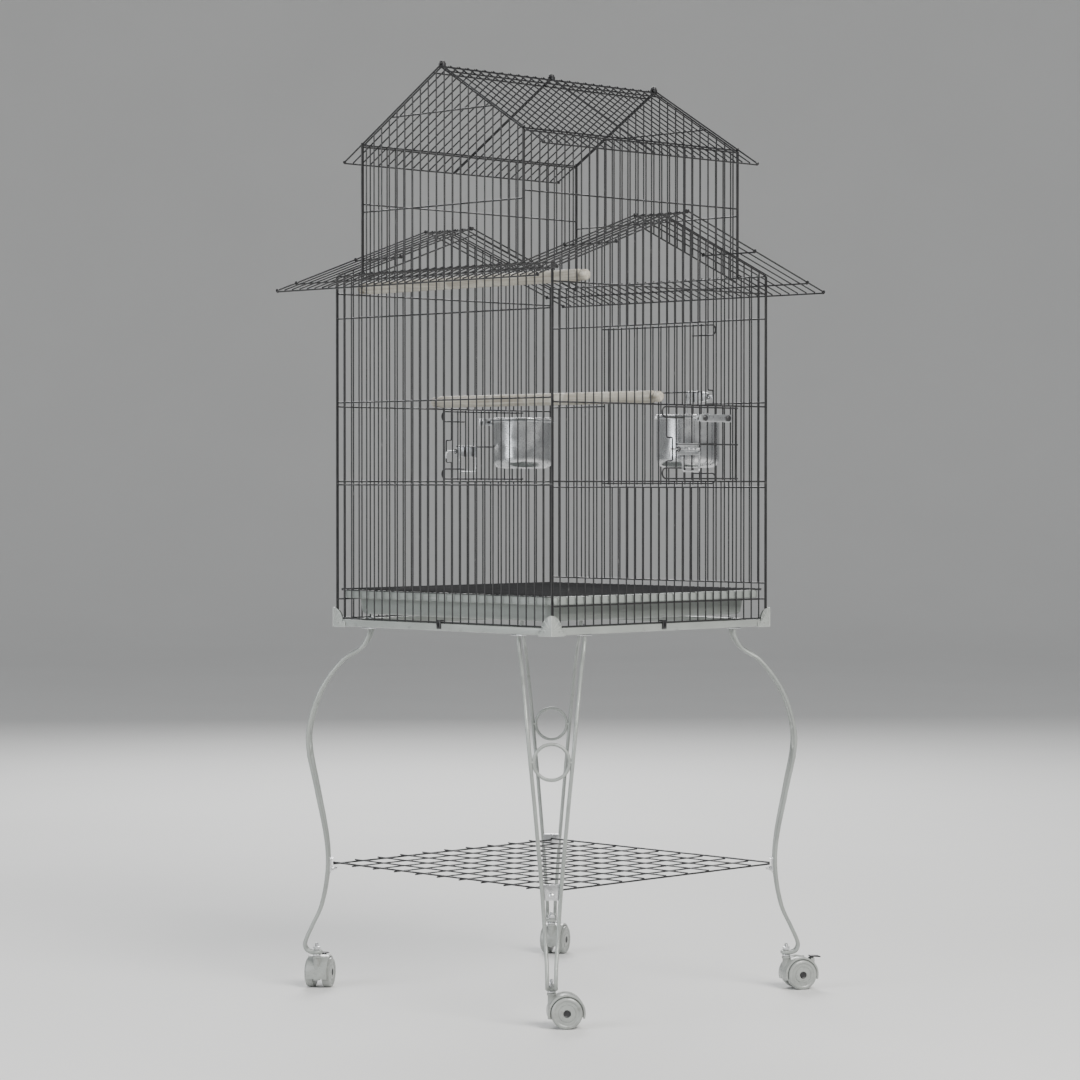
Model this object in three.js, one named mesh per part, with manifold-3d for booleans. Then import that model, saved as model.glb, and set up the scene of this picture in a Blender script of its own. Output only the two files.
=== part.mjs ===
// Bird cage on a rolling stand: a house-shaped wire cage with a stepped roof, a slide-out tray,
// swing-out feeder doors with cups, four bent-rod legs, a wire shelf and four twin-wheel casters.
// Millimetres, +Z up. The origin is on the floor under the cage's centre, and -Y is the front.
// Wire panels carry the rings and the main bars; the fine bars between them repeat at BAR_PITCH.
import * as THREE from 'three';
import { mergeVertices } from 'three/addons/utils/BufferGeometryUtils.js';
import Module from 'manifold-3d';

const wasm = await Module();
wasm.setup();

// ---- driving dimensions ----
const CAGE = 430;
const HALF = CAGE / 2;
const BAR_GAPS = 27;
const BAR_PITCH = CAGE / BAR_GAPS;
const WIRE = 2.4;
const GAP = 0.3;
const CORNER_SETBACK = WIRE + GAP;

const BASE = { half: 217.5, rail: 10, bottom: 515, top: 525 };
const FRONT_RINGS = [711.4, 831, 949.4];
const BACK_RINGS = [715, 831, 949.4];
const SIDE_RINGS = [719.6, 825.2, 984.6];
const FRONT_SLOT_TOP = 576;

const LOWER_ROOF = { ridge: 1087, run: 286, slope: 0.344, reach: 260 };
const UPPER = { half: 161, sideRing: 1108, frontRings: [1097, 1225] };
const TOP_ROOF = { ridge: 1289, run: 199, slope: 0.6 };

const MAIN_DOOR = {
  hinge: 7, free: 20, bars: [8, 12, 15, 19], bottom: 717, middle: 849, top: 945, past: 10,
  latch: { inset: 26.5, z: 842, reach: 31, tipDrop: 8 },
};
const FEEDER = {
  hinge: 4, free: 13, bars: [5, 9, 12], bottom: 723.5, middle: 771, top: 822, past: 14,
  latch: { inset: 36, z: 764, reach: 40, tipDrop: 10.5 },
};
const DOOR_OFFSET = WIRE + 2 * GAP + 0.1;
const HAIRPIN = { drop: 14.6, back: 45 };
const SLEEVE = { inner: 2.2, outer: 3.2, tall: 6 };

const TRAY = { half: 212, lipTop: 566, lipDrop: 11, bodyHalf: 194, bottom: 532, wall: 2.5, corner: 20 };
const GRATE_HALF = 210;
const CUP = { x: 165, y: -105.5, radius: 44, rim: 46.2, bottom: 739, height: 74, wall: 1.4 };
const PERCH = { radius: 8.5, neck: 5.8, reach: 228 };
const PERCHES = [['perch_lower', 14.5, 835.3], ['perch_upper', 23.5, 994.7]];

const LEG = { rod: 2.7, ring: 23.6, ringTube: 2.4, ringZ: 351, belly: 343.3 };
const SHELF = { half: 218.5, z: 178.5, cells: 5 };
const STEM = { r: 333, radius: 2.6, bottom: 20, washer: 47, eye: 49.8, nut: 55.6, top: 65 };
const CASTER = { wheel: 21, trail: 19, fender: 25, skin: 1.6, halfWidth: 15, wheelOut: 18.5, wheelIn: 6.3 };
// A brake lever, from the axle: its pedal, the foot under it, and the hood's two lugs beside the foot.
const BRAKE = {
  pedal: { near: 16.5, far: 31.5, half: 6, low: 22.9, high: 25 },
  foot: { near: 17.5, far: 21.5, half: 4.2, low: 18.6 },
  lug: { near: 16.5, far: 22, low: 14, high: 22, thick: 2 },
};
const LATCH = { half: 20, tall: 16, sheet: 1, ear: 1.5, earHalf: 4.5, line: 4.8, bolt: 1.6 };
const LOOP = { width: 36, drop: 25, wire: 2.2, gapUnder: 10, play: 0.5 };

const LOWER_ANGLE = Math.atan(LOWER_ROOF.slope);
const TOP_ANGLE = Math.atan(TOP_ROOF.slope);

// ---- finishes ----
const BLACK_WIRE = [0x1c1d1e, 0.45, 0.6];
const GREY_STEEL = [0xb9bdb9, 0.45, 0.4];
const GREY_PLASTIC = [0xa9b0aa, 0.55, 0.0];
const BLACK_PLASTIC = [0x151617, 0.6, 0.0];
const STAINLESS = [0xc9ccd0, 0.25, 1.0];
const WOOD = [0xc2b8a6, 0.7, 0.0];
const ZINC = [0xa8abad, 0.35, 0.9];

// ---- helpers ----
const cage = new THREE.Group();

function solid(geometry) {
  const bare = geometry.index ? geometry.clone() : geometry;
  bare.deleteAttribute('normal');
  bare.deleteAttribute('uv');
  const merged = mergeVertices(bare, 1e-3);
  return new wasm.Manifold(new wasm.Mesh({
    numProp: 3,
    vertProperties: new Float32Array(merged.attributes.position.array),
    triVerts: new Uint32Array(merged.index.array),
  }));
}

function weld(solids) {
  return solids.reduce((joined, next) => joined.add(next)).asOriginal().simplify(1e-3);
}

function meshOf(name, body, finish) {
  const { vertProperties, triVerts } = body.getMesh();
  const geometry = new THREE.BufferGeometry();
  geometry.setAttribute('position', new THREE.BufferAttribute(new Float32Array(vertProperties), 3));
  geometry.setIndex(new THREE.BufferAttribute(new Uint32Array(triVerts), 1));
  const [color, roughness, metalness] = finish;
  const mesh = new THREE.Mesh(geometry, new THREE.MeshStandardMaterial({ color, roughness, metalness }));
  mesh.name = name;
  return mesh;
}

function box(low, high) {
  const size = high.map((value, axis) => value - low[axis]);
  const geometry = new THREE.BoxGeometry(...size);
  geometry.translate(...low.map((value, axis) => value + size[axis] / 2));
  return solid(geometry);
}

// A straight wire in a panel's own plane, from (x1, y1) to (x2, y2), at height z over the plane.
function wire(x1, y1, x2, y2, z = 0) {
  const length = Math.hypot(x2 - x1, y2 - y1);
  const geometry = new THREE.BoxGeometry(length, WIRE, WIRE);
  geometry.rotateZ(Math.atan2(y2 - y1, x2 - x1));
  geometry.translate((x1 + x2) / 2, (y1 + y2) / 2, z);
  return solid(geometry);
}

// The same wire, lengthened by half its thickness at both ends so that corners close square.
function fullWire(x1, y1, x2, y2, z = 0) {
  const length = Math.hypot(x2 - x1, y2 - y1);
  const dx = (x2 - x1) / length * WIRE / 2;
  const dy = (y2 - y1) / length * WIRE / 2;
  return wire(x1 - dx, y1 - dy, x2 + dx, y2 + dy, z);
}

function rod(radius, from, to, segments = 10) {
  const start = new THREE.Vector3(...from);
  const along = new THREE.Vector3(...to).sub(start);
  const geometry = new THREE.CylinderGeometry(radius, radius, along.length(), segments);
  const turn = new THREE.Quaternion().setFromUnitVectors(new THREE.Vector3(0, 1, 0), along.clone().normalize());
  geometry.applyQuaternion(turn);
  geometry.translate(...start.addScaledVector(along, 0.5).toArray());
  return solid(geometry);
}

// A body turned about Z from a closed profile of [radius, z] points.
function turned(profile, segments) {
  const geometry = new THREE.LatheGeometry(profile.map(([r, z]) => new THREE.Vector2(r, z)), segments);
  geometry.rotateX(Math.PI / 2);
  return solid(geometry);
}

function extruded(shape, depth, curveSegments = 6) {
  return solid(new THREE.ExtrudeGeometry(shape, { depth, bevelEnabled: false, curveSegments }));
}

function roundedSquare(half, radius) {
  const shape = new THREE.Shape();
  const inner = half - radius;
  shape.moveTo(inner, -half);
  shape.absarc(inner, -inner, radius, -Math.PI / 2, 0);
  shape.absarc(inner, inner, radius, 0, Math.PI / 2);
  shape.absarc(-inner, inner, radius, Math.PI / 2, Math.PI);
  shape.absarc(-inner, -inner, radius, Math.PI, Math.PI * 1.5);
  return shape;
}

function slab(half, radius, bottom, top) {
  return extruded(roundedSquare(half, radius), top - bottom, 3).translate(0, 0, bottom);
}

// Bar number 0 is at -HALF and bar BAR_GAPS at +HALF. Panels at a corner step back from each other.
function barAt(index) {
  return -HALF + index * BAR_PITCH;
}

// Stands a flat panel up. Its x runs along world X (front, back) or world Y (sides), its y is up.
function standAcross(mesh, y) {
  mesh.rotation.x = Math.PI / 2;
  mesh.position.y = y;
  cage.add(mesh);
}

function standAlong(mesh, x) {
  mesh.rotation.set(Math.PI / 2, Math.PI / 2, 0);
  mesh.position.x = x;
  cage.add(mesh);
}

// ---- base ----
function buildBase() {
  const outer = box([-BASE.half, -BASE.half, BASE.bottom], [BASE.half, BASE.half, BASE.top]);
  const inside = BASE.half - BASE.rail;
  const hole = box([-inside, -inside, BASE.bottom - 1], [inside, inside, BASE.top + 1]);
  cage.add(meshOf('base_frame', outer.subtract(hole), GREY_STEEL));

  for (const [name, turns] of [['back_left', 0], ['back_right', 1], ['front_right', 2], ['front_left', 3]]) {
    const corner = new THREE.Group();
    corner.rotation.z = turns * Math.PI / 2;
    corner.add(meshOf(`corner_bracket_${name}`, cornerBracket(), GREY_STEEL));
    cage.add(corner);
  }
  for (const [name, turns] of [['back', 0], ['right', 1], ['left', 3]]) {
    const side = new THREE.Group();
    side.rotation.z = turns * Math.PI / 2;
    side.add(meshOf(`base_clip_${name}`, baseClip(), BLACK_PLASTIC));
    cage.add(side);
  }
}

// Two sheet-metal ears at right angles. Each is a sleeve over the rail with a quarter disc above it.
function cornerBracket() {
  const inner = BASE.half + GAP;
  const sheet = 1.7;
  const sleeve = 26;
  const ear = 20;
  const low = BASE.bottom - 1;
  const high = BASE.top + 1;
  const shape = new THREE.Shape();
  shape.moveTo(0, low);
  shape.lineTo(sleeve, low);
  shape.lineTo(sleeve, high - 4);
  shape.lineTo(ear, high - 4);
  shape.absellipse(0, high - 4, ear, ear, 0, Math.PI / 2);
  const plate = extruded(shape, sheet, 6);
  const onBack = plate.transform(new THREE.Matrix4().set(
    -1, 0, 0, inner + sheet, 0, 0, 1, inner, 0, 1, 0, 0, 0, 0, 0, 1).elements);
  const onSide = plate.transform(new THREE.Matrix4().set(
    0, 0, 1, inner, -1, 0, 0, inner + sheet, 0, 1, 0, 0, 0, 0, 0, 1).elements);
  return onBack.add(onSide);
}

// A small hook over the rail and the wall's bottom wire.
function baseClip() {
  const width = 8;
  const outer = BASE.half + GAP;
  const over = BASE.top + GAP + WIRE + GAP;
  const hook = box([-width / 2, HALF - 3, over], [width / 2, outer + 1.5, over + 2]);
  const leg = box([-width / 2, outer, BASE.bottom + 3], [width / 2, outer + 1.5, over + 2]);
  return hook.add(leg);
}

// ---- walls ----
const WALL_BOTTOM = BASE.top + GAP + WIRE / 2;
const WALL_BARS = [0, 7, 11, 16, 20, 27];
const SHOULDER = 1009.3;

function underTopRoof(x) {
  return TOP_ROOF.ridge - TOP_ROOF.slope * Math.abs(x) - (WIRE + GAP + 0.1) / Math.cos(TOP_ANGLE);
}

function underLowerRoof(y) {
  return LOWER_ROOF.ridge - LOWER_ROOF.slope * Math.abs(y) - (WIRE + GAP + 0.1) / Math.cos(LOWER_ANGLE);
}

// The house-shaped outline above the shoulders, shared by the front and the back.
function upperGable() {
  const wires = [];
  for (const side of [-1, 1]) {
    const edge = side * UPPER.half;
    wires.push(fullWire(edge, SHOULDER, edge, underTopRoof(edge)));
    wires.push(wire(edge, underTopRoof(edge), 0, underTopRoof(0)));
  }
  for (const index of WALL_BARS.slice(1, -1)) {
    wires.push(wire(barAt(index), SHOULDER, barAt(index), underTopRoof(barAt(index))));
  }
  const [lower, upper] = UPPER.frontRings;
  const gableHalf = (underTopRoof(0) - upper) / TOP_ROOF.slope;
  wires.push(wire(-UPPER.half, lower, UPPER.half, lower));
  wires.push(wire(-gableHalf, upper, gableHalf, upper));
  return wires;
}

function frontPanel() {
  const [doorBottom, doorMiddle, doorTop] = FRONT_RINGS;
  const hinge = -barAt(MAIN_DOOR.hinge);
  const free = -barAt(MAIN_DOOR.free);
  const wires = upperGable();
  for (const index of WALL_BARS) {
    const x = barAt(index);
    const atEnd = index === 0 || index === BAR_GAPS;
    const foot = atEnd ? BASE.top + GAP : FRONT_SLOT_TOP;
    if (Math.abs(x) >= Math.abs(hinge) - 1) {
      wires.push(wire(x, foot, x, SHOULDER));
    } else {
      wires.push(wire(x, foot, x, doorBottom));
      wires.push(wire(x, doorTop, x, SHOULDER));
    }
  }
  for (const height of [FRONT_SLOT_TOP, doorBottom, doorTop, SHOULDER]) {
    wires.push(fullWire(-HALF, height, HALF, height));
  }
  wires.push(wire(hinge, doorMiddle, HALF, doorMiddle));
  wires.push(wire(-HALF, doorMiddle, free, doorMiddle));
  return weld(wires);
}

function backPanel() {
  const wires = upperGable();
  for (const index of WALL_BARS) {
    wires.push(wire(barAt(index), WALL_BOTTOM, barAt(index), SHOULDER));
  }
  for (const height of [WALL_BOTTOM, ...BACK_RINGS, SHOULDER]) {
    wires.push(fullWire(-HALF, height, HALF, height));
  }
  return weld(wires);
}

// side is +1 for the wall at +X. The tray's runner wire stands off on the wall's inner side.
function sidePanel(side) {
  const end = HALF - CORNER_SETBACK;
  const [low, middle, high] = SIDE_RINGS;
  const hinge = barAt(FEEDER.hinge);
  const free = barAt(FEEDER.free);
  const wires = [];
  for (const y of [-end, hinge, barAt(9), free, barAt(20), end]) {
    const top = underLowerRoof(y);
    if (y > hinge && y < free) {
      wires.push(wire(y, WALL_BOTTOM, y, low));
      wires.push(wire(y, middle, y, top));
    } else {
      wires.push(wire(y, WALL_BOTTOM, y, top));
    }
  }
  for (const height of [WALL_BOTTOM, low, middle, high]) {
    wires.push(fullWire(-end, height, end, height));
  }
  wires.push(wire(-end, underLowerRoof(end), 0, underLowerRoof(0)));
  wires.push(wire(end, underLowerRoof(end), 0, underLowerRoof(0)));

  const runnerX = TRAY.half - WIRE / 2;
  const runnerZ = TRAY.lipTop - TRAY.lipDrop - GAP - WIRE / 2;
  const inward = side * (runnerX - HALF);
  wires.push(fullWire(-end, runnerZ, end, runnerZ, inward));
  for (const y of [-end, barAt(9), end]) {
    const reach = [y - WIRE / 2, runnerZ - WIRE / 2];
    wires.push(box([...reach, Math.min(inward, 0)], [y + WIRE / 2, runnerZ + WIRE / 2, Math.max(inward, 0)]));
  }
  return weld(wires);
}

// The upper body's side wall. Its lower edge follows the lower roof, 10 mm under the roof's plane.
function upperSidePanel() {
  const end = HALF - CORNER_SETBACK;
  const top = underTopRoof(UPPER.half) - WIRE / 2;
  const foot = (y) => underLowerRoof(y) - 7;
  const wires = [];
  for (const y of [-end, ...WALL_BARS.slice(1, -1).map(barAt), end]) {
    wires.push(wire(y, foot(y), y, top));
  }
  for (const height of [UPPER.sideRing, top]) {
    wires.push(fullWire(-end, height, end, height));
  }
  wires.push(wire(-end, foot(end), 0, foot(0)));
  wires.push(wire(end, foot(end), 0, foot(0)));
  return weld(wires);
}

function buildWalls() {
  standAcross(meshOf('front_panel', frontPanel(), BLACK_WIRE), -HALF);
  standAcross(meshOf('back_panel', backPanel(), BLACK_WIRE), HALF);
  standAlong(meshOf('left_panel', sidePanel(1), BLACK_WIRE), HALF);
  standAlong(meshOf('right_panel', sidePanel(-1), BLACK_WIRE), -HALF);
  standAlong(meshOf('upper_left_panel', upperSidePanel(), BLACK_WIRE), UPPER.half);
  standAlong(meshOf('upper_right_panel', upperSidePanel(), BLACK_WIRE), -UPPER.half);
}

// ---- roofs ----
// A slope in its own plane: x along the ridge, y down the slope from the ridge.
function lowerRoofSlope() {
  const down = (run) => run / Math.cos(LOWER_ANGLE);
  const ridge = WIRE;
  const eave = down(LOWER_ROOF.run);
  const crossOuter = down(250.7);
  const crossInner = down(138.8);
  const inner = UPPER.half + WIRE + GAP;
  const wallLine = down(HALF + WIRE + 3 * GAP);
  const outer = LOWER_ROOF.reach;
  const wires = [
    fullWire(-outer, eave, outer, eave),
    wire(-outer, crossOuter, outer, crossOuter),
    wire(-inner, wallLine, inner, wallLine),
  ];
  for (const side of [-1, 1]) {
    wires.push(fullWire(side * inner, ridge, side * outer, ridge));
    wires.push(wire(side * inner, crossInner, side * outer, crossInner));
    for (const x of [inner, (inner + outer) / 2, outer]) {
      wires.push(wire(side * x, ridge, side * x, eave));
    }
  }
  for (const index of WALL_BARS.slice(1, -1)) {
    wires.push(wire(barAt(index), wallLine, barAt(index), eave));
  }
  return weld(wires);
}

function topRoofPanel() {
  const down = (run) => run / Math.cos(TOP_ANGLE);
  const half = HALF / 2 - GAP / 2 - WIRE / 2;
  const rows = [WIRE, down(UPPER.half), down(TOP_ROOF.run)];
  const wires = rows.map((y) => fullWire(-half, y, half, y));
  for (const x of [-half, -half / 3, half / 3, half]) {
    wires.push(wire(x, rows[0], x, rows[2]));
  }
  return weld(wires);
}

function slopeMesh(mesh, angle, ridge, turn, along = 0) {
  const facing = new THREE.Group();
  facing.rotation.z = turn;
  mesh.rotation.x = -angle;
  mesh.position.set(along, 0, ridge);
  facing.add(mesh);
  cage.add(facing);
}

function buildRoofs() {
  slopeMesh(meshOf('lower_roof_back', lowerRoofSlope(), BLACK_WIRE), LOWER_ANGLE, LOWER_ROOF.ridge, 0);
  slopeMesh(meshOf('lower_roof_front', lowerRoofSlope(), BLACK_WIRE), LOWER_ANGLE, LOWER_ROOF.ridge, Math.PI);
  for (const [side, turn] of [['left', -Math.PI / 2], ['right', Math.PI / 2]]) {
    for (const [end, along] of [['front', Math.sign(turn)], ['back', -Math.sign(turn)]]) {
      const panel = meshOf(`top_roof_${side}_${end}`, topRoofPanel(), BLACK_WIRE);
      slopeMesh(panel, TOP_ANGLE, TOP_ROOF.ridge, turn, along * -HALF / 2);
    }
  }
  const spots = [['front', -HALF + 4], ['middle', 0], ['back', HALF - 4]];
  for (const [name, y] of spots) {
    const clip = turned([[0, 0], [3.4, 0.4], [4.2, 2.2], [3.2, 4.4], [0, 5.2]], 10);
    const mesh = meshOf(`ridge_clip_${name}`, clip, BLACK_PLASTIC);
    mesh.position.set(0, y, TOP_ROOF.ridge + 1.2);
    cage.add(mesh);
  }
}

// ---- tray and floor grate ----
function buildFloor() {
  const { half, lipTop, lipDrop, bodyHalf, bottom, wall, corner } = TRAY;
  const lip = slab(half, corner, lipTop - lipDrop, lipTop);
  const channel = slab(half - wall, corner - wall, lipTop - lipDrop - 1, lipTop - wall);
  const body = slab(bodyHalf, corner - 6, bottom, lipTop);
  const hollow = slab(bodyHalf - wall, corner - 6 - wall, bottom + wall, lipTop + 1);
  const tray = weld([lip.subtract(channel), body]).subtract(hollow);
  cage.add(meshOf('tray', tray, GREY_PLASTIC));

  const spacing = 2 * GRATE_HALF / 4;
  const wires = [];
  for (let i = 0; i <= 4; i += 1) {
    const at = -GRATE_HALF + i * spacing;
    wires.push(fullWire(at, -GRATE_HALF, at, GRATE_HALF));
    wires.push(fullWire(-GRATE_HALF, at, GRATE_HALF, at));
  }
  const grate = meshOf('floor_grate', weld(wires), BLACK_WIRE);
  grate.position.z = lipTop + GAP + WIRE / 2;
  cage.add(grate);
}

// ---- doors, in the door's own plane: x from the hinge towards the free edge, y up, z outward ----
function doorSleeves(heights) {
  const { inner, outer, tall } = SLEEVE;
  const ring = turned([[inner, 0], [outer, 0], [outer, tall], [inner, tall], [inner, 0]], 8);
  return heights.map((height) => ring.rotate(-90, 0, 0).translate(0, height, -DOOR_OFFSET));
}

// side is +1 where the free edge is towards the plane's +x, and -1 where it is towards -x.
function doorPanel(spec, side, latchX, latchY) {
  const width = (spec.free - spec.hinge) * BAR_PITCH;
  const tip = width + spec.past;
  const wires = [];
  const across = (x1, x2, y) => wires.push(fullWire(side * x1, y, side * x2, y));
  across(0, tip, spec.top);
  across(0, tip, spec.bottom);
  across(0, width - BAR_PITCH, spec.middle);
  across(tip - HAIRPIN.back, tip, spec.top - HAIRPIN.drop);
  across(tip - HAIRPIN.back, tip, spec.bottom + HAIRPIN.drop);
  wires.push(wire(side * tip, spec.top, side * tip, spec.top - HAIRPIN.drop));
  wires.push(wire(side * tip, spec.bottom, side * tip, spec.bottom + HAIRPIN.drop));
  for (const index of spec.bars) {
    const x = side * (index - spec.hinge) * BAR_PITCH;
    wires.push(wire(x, spec.bottom, x, spec.top));
  }
  const sleeves = doorSleeves([spec.bottom - 1, spec.middle - 3, spec.top - 5]);
  return weld([...wires, ...sleeves, latchBracket().translate(side * latchX, latchY, 0)]);
}

// A folded plate with two ears that guide the bolt.
function latchBracket() {
  const { half, tall, sheet, ear, earHalf, line, bolt } = LATCH;
  const plate = box([-half, -tall / 2, 0], [half, tall / 2, WIRE / 2 + sheet]);
  const ears = [-1, 1].map((side) => {
    const from = side * half - (side > 0 ? ear : 0);
    return box([from, -earHalf, 0], [from + ear, earHalf, line + 3]);
  });
  const hole = rod(bolt + GAP + 0.1, [-half - 2, 0, line], [half + 2, 0, line], 8);
  return weld([plate, ...ears]).subtract(hole);
}

// The sliding bolt is one bent wire. Its tip turns down behind the frame's bar, and its other end
// turns down behind the rear ear and comes back under the housing as a finger loop.
function latchBolt(side, reach, tipDrop) {
  const { half, line, bolt } = LATCH;
  const { width, drop, wire: thick, gapUnder, play } = LOOP;
  const rear = -half - play - thick;
  const bar = (x1, y1, x2, y2) => box([x1, y1, line - thick / 2], [x2, y2, line + thick / 2]);
  const bent = weld([
    rod(bolt, [rear, 0, line], [reach, 0, line], 8),
    bar(reach - 2.8, -tipDrop, reach, 0),
    bar(rear, -drop, rear + thick, 0),
    bar(rear, -drop, rear + width, -drop + thick),
    bar(rear + width - thick, -drop, rear + width, -gapUnder),
  ]);
  return side > 0 ? bent : bent.mirror([1, 0, 0]);
}

function placeDoor(mesh, face, along) {
  const outward = HALF + DOOR_OFFSET;
  if (face === 'front') {
    mesh.rotation.x = Math.PI / 2;
    mesh.position.set(along, -outward, 0);
  } else if (face === 'left') {
    mesh.rotation.set(Math.PI / 2, Math.PI / 2, 0);
    mesh.position.set(outward, along, 0);
  } else {
    mesh.rotation.set(Math.PI / 2, -Math.PI / 2, 0);
    mesh.position.set(-outward, along, 0);
  }
  cage.add(mesh);
}

function buildDoor(name, spec, face, side, hingeAt) {
  const { latch } = spec;
  const latchX = (spec.free - spec.hinge) * BAR_PITCH - latch.inset;
  const door = meshOf(name, doorPanel(spec, side, latchX, latch.z), BLACK_WIRE);
  placeDoor(door, face, hingeAt);
  const bolt = latchBolt(side, latch.reach, latch.tipDrop).translate(side * latchX, latch.z, 0);
  placeDoor(meshOf(`${name}_latch`, bolt, ZINC), face, hingeAt);
}

function buildDoors() {
  buildDoor('main_door', MAIN_DOOR, 'front', -1, -barAt(MAIN_DOOR.hinge));
  buildDoor('feeder_door_left', FEEDER, 'left', 1, barAt(FEEDER.hinge));
  buildDoor('feeder_door_right', FEEDER, 'right', -1, barAt(FEEDER.hinge));
}

// ---- feeding cups on their clamp holders ----
function cupBody() {
  const { radius, rim, height, wall } = CUP;
  return turned([
    [0, 0], [radius - 9, 0], [radius - 2.6, 2.6], [radius, 9],
    [radius, height - 4], [rim, height - 3], [rim, height],
    [radius - wall, height], [radius - wall, 9.5], [radius - 9.5, wall], [0, wall],
  ], 16);
}

// A hoop under the cup's rim, with an inner and an outer plate screwed together through the door.
function cupHolder() {
  const hoopZ = CUP.bottom + CUP.height - 4 - GAP - WIRE;
  const inner = CUP.radius + 1.3;
  const outer = inner + WIRE;
  const hoop = turned([
    [inner, hoopZ], [outer, hoopZ], [outer, hoopZ + WIRE], [inner, hoopZ + WIRE], [inner, hoopZ],
  ], 16);
  const centre = hoopZ + WIRE / 2;
  const toWall = HALF - CUP.x;
  const doorOut = toWall + DOOR_OFFSET + WIRE / 2;
  const plates = [
    box([toWall - 3.2, -35, centre - 5.3], [toWall - 1.6, 35, centre + 5.3]),
    box([doorOut + GAP, -35, centre - 5.3], [doorOut + GAP + 2, 35, centre + 5.3]),
  ];
  const screws = [6.5, 9.5].map((gap) => barAt(gap - 1) - CUP.y).map((y) => (
    rod(2.2, [toWall - 6, y, centre], [doorOut + 5, y, centre], 6)
  ));
  return weld([hoop, ...plates, ...screws]);
}

function buildCups() {
  for (const [name, side] of [['left', 1], ['right', -1]]) {
    const cup = meshOf(`cup_${name}`, cupBody(), STAINLESS);
    cup.position.set(side * CUP.x, CUP.y, CUP.bottom);
    cage.add(cup);
    const holder = side > 0 ? cupHolder() : cupHolder().mirror([1, 0, 0]);
    const mesh = meshOf(`cup_holder_${name}`, holder, ZINC);
    mesh.position.set(side * CUP.x, CUP.y, 0);
    cage.add(mesh);
  }
}

// ---- perches: turned dowels whose necks sit between two bars, on the side walls' rings ----
function buildPerches() {
  const { radius, neck, reach } = PERCH;
  const face = HALF - WIRE / 2 - GAP - 1;
  const halfProfile = [[neck, face], [neck, HALF + 3], [radius - 1, HALF + 3], [radius - 1, reach - 4],
    [radius - 4, reach], [0, reach]];
  const profile = [
    ...halfProfile.map(([r, x]) => [r, -x]).reverse(),
    [radius, -face], [radius, face],
    ...halfProfile,
  ];
  for (const [name, gap, z] of PERCHES) {
    const mesh = meshOf(name, turned(profile, 10), WOOD);
    mesh.rotation.y = Math.PI / 2;
    mesh.position.set(0, barAt(gap), z);
    cage.add(mesh);
  }
}

// ---- legs. A leg stands in a diagonal plane: r outward from the axis, w to each side, z up ----
const LEG_LINE = [
  [256.3, 44.2, 514.2], [256.8, 44.0, 504], [268, 41.8, 485], [293, 39.4, 469], [322, 35.4, 431],
  [338, 31.6, 391], [343.5, 27.8, 350], [332, 21.8, 286], [318.5, 15.6, 214], [317, 12, 170],
  [326, 8.6, 119], [341, 6.4, 86], [349.5, 5.8, 65], [347, 5.8, 56], [340, 5.8, 52.6], [333, 5.8, 52.5],
];

function hexagon(radius) {
  const shape = new THREE.Shape();
  for (let i = 0; i < 6; i += 1) {
    const angle = i * Math.PI / 3;
    const point = [radius * Math.cos(angle), radius * Math.sin(angle)];
    if (i === 0) {
      shape.moveTo(...point);
    } else {
      shape.lineTo(...point);
    }
  }
  return shape;
}

// A curve whose steps are shared evenly between its knots, so that close knots bend it finely.
class KnotCurve extends THREE.CatmullRomCurve3 {
  getUtoTmapping(u) {
    return u;
  }
}

function legBody() {
  const rods = [-1, 1].map((side) => {
    const path = new KnotCurve(LEG_LINE.map(([r, w, z]) => new THREE.Vector3(r, side * w, z)));
    const options = { steps: LEG_LINE.length - 1, bevelEnabled: false, extrudePath: path };
    return solid(new THREE.ExtrudeGeometry(hexagon(LEG.rod), options));
  });
  const eyeIn = STEM.radius + GAP + 0.1;
  const eyeOut = eyeIn + 2 * LEG.rod;
  const eyeTop = STEM.eye + 2 * LEG.rod;
  const eye = turned([
    [eyeIn, STEM.eye], [eyeOut, STEM.eye], [eyeOut, eyeTop], [eyeIn, eyeTop], [eyeIn, STEM.eye],
  ], 10).translate(STEM.r, 0, 0);
  const ring = new THREE.TorusGeometry(LEG.ring, LEG.ringTube, 4, 12);
  ring.rotateY(Math.PI / 2);
  ring.translate(LEG.belly, 0, LEG.ringZ);
  return weld([...rods, eye, solid(ring)]);
}

// ---- shelf ----
function buildShelf() {
  const { half, z, cells } = SHELF;
  const wires = [];
  for (let i = 0; i <= cells; i += 1) {
    const at = -half + 2 * half * i / cells;
    wires.push(fullWire(at, -half, at, half));
    wires.push(fullWire(-half, at, half, at));
  }
  const shelf = meshOf('shelf', weld(wires), BLACK_WIRE);
  shelf.position.z = z;
  cage.add(shelf);
}

// A plate between the leg's rods, with a screw through it towards the shelf.
function shelfBracket() {
  const face = (SHELF.half + WIRE / 2) * Math.SQRT2 + GAP;
  const plate = box([face, -9, SHELF.z - 14], [face + 3, 9, SHELF.z + 8]);
  const screw = rod(2.5, [face - 9, 0, SHELF.z - 7], [face + 6, 0, SHELF.z - 7], 8);
  return plate.add(screw);
}

// ---- casters, in the wheel's own frame: x along the trail, y the axle, z up from the axle ----
function fenderSector(outer, inner) {
  const low = -0.3;
  const shape = new THREE.Shape();
  shape.absarc(0, 0, outer, low, Math.PI - low, false);
  if (inner > 0) {
    shape.absarc(0, 0, inner, Math.PI - low, low, true);
  } else {
    shape.lineTo(0, 0);
  }
  return shape;
}

function thick(shape, halfWidth, segments) {
  return extruded(shape, 2 * halfWidth, segments).translate(0, 0, -halfWidth).rotate(90, 0, 0);
}

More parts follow.
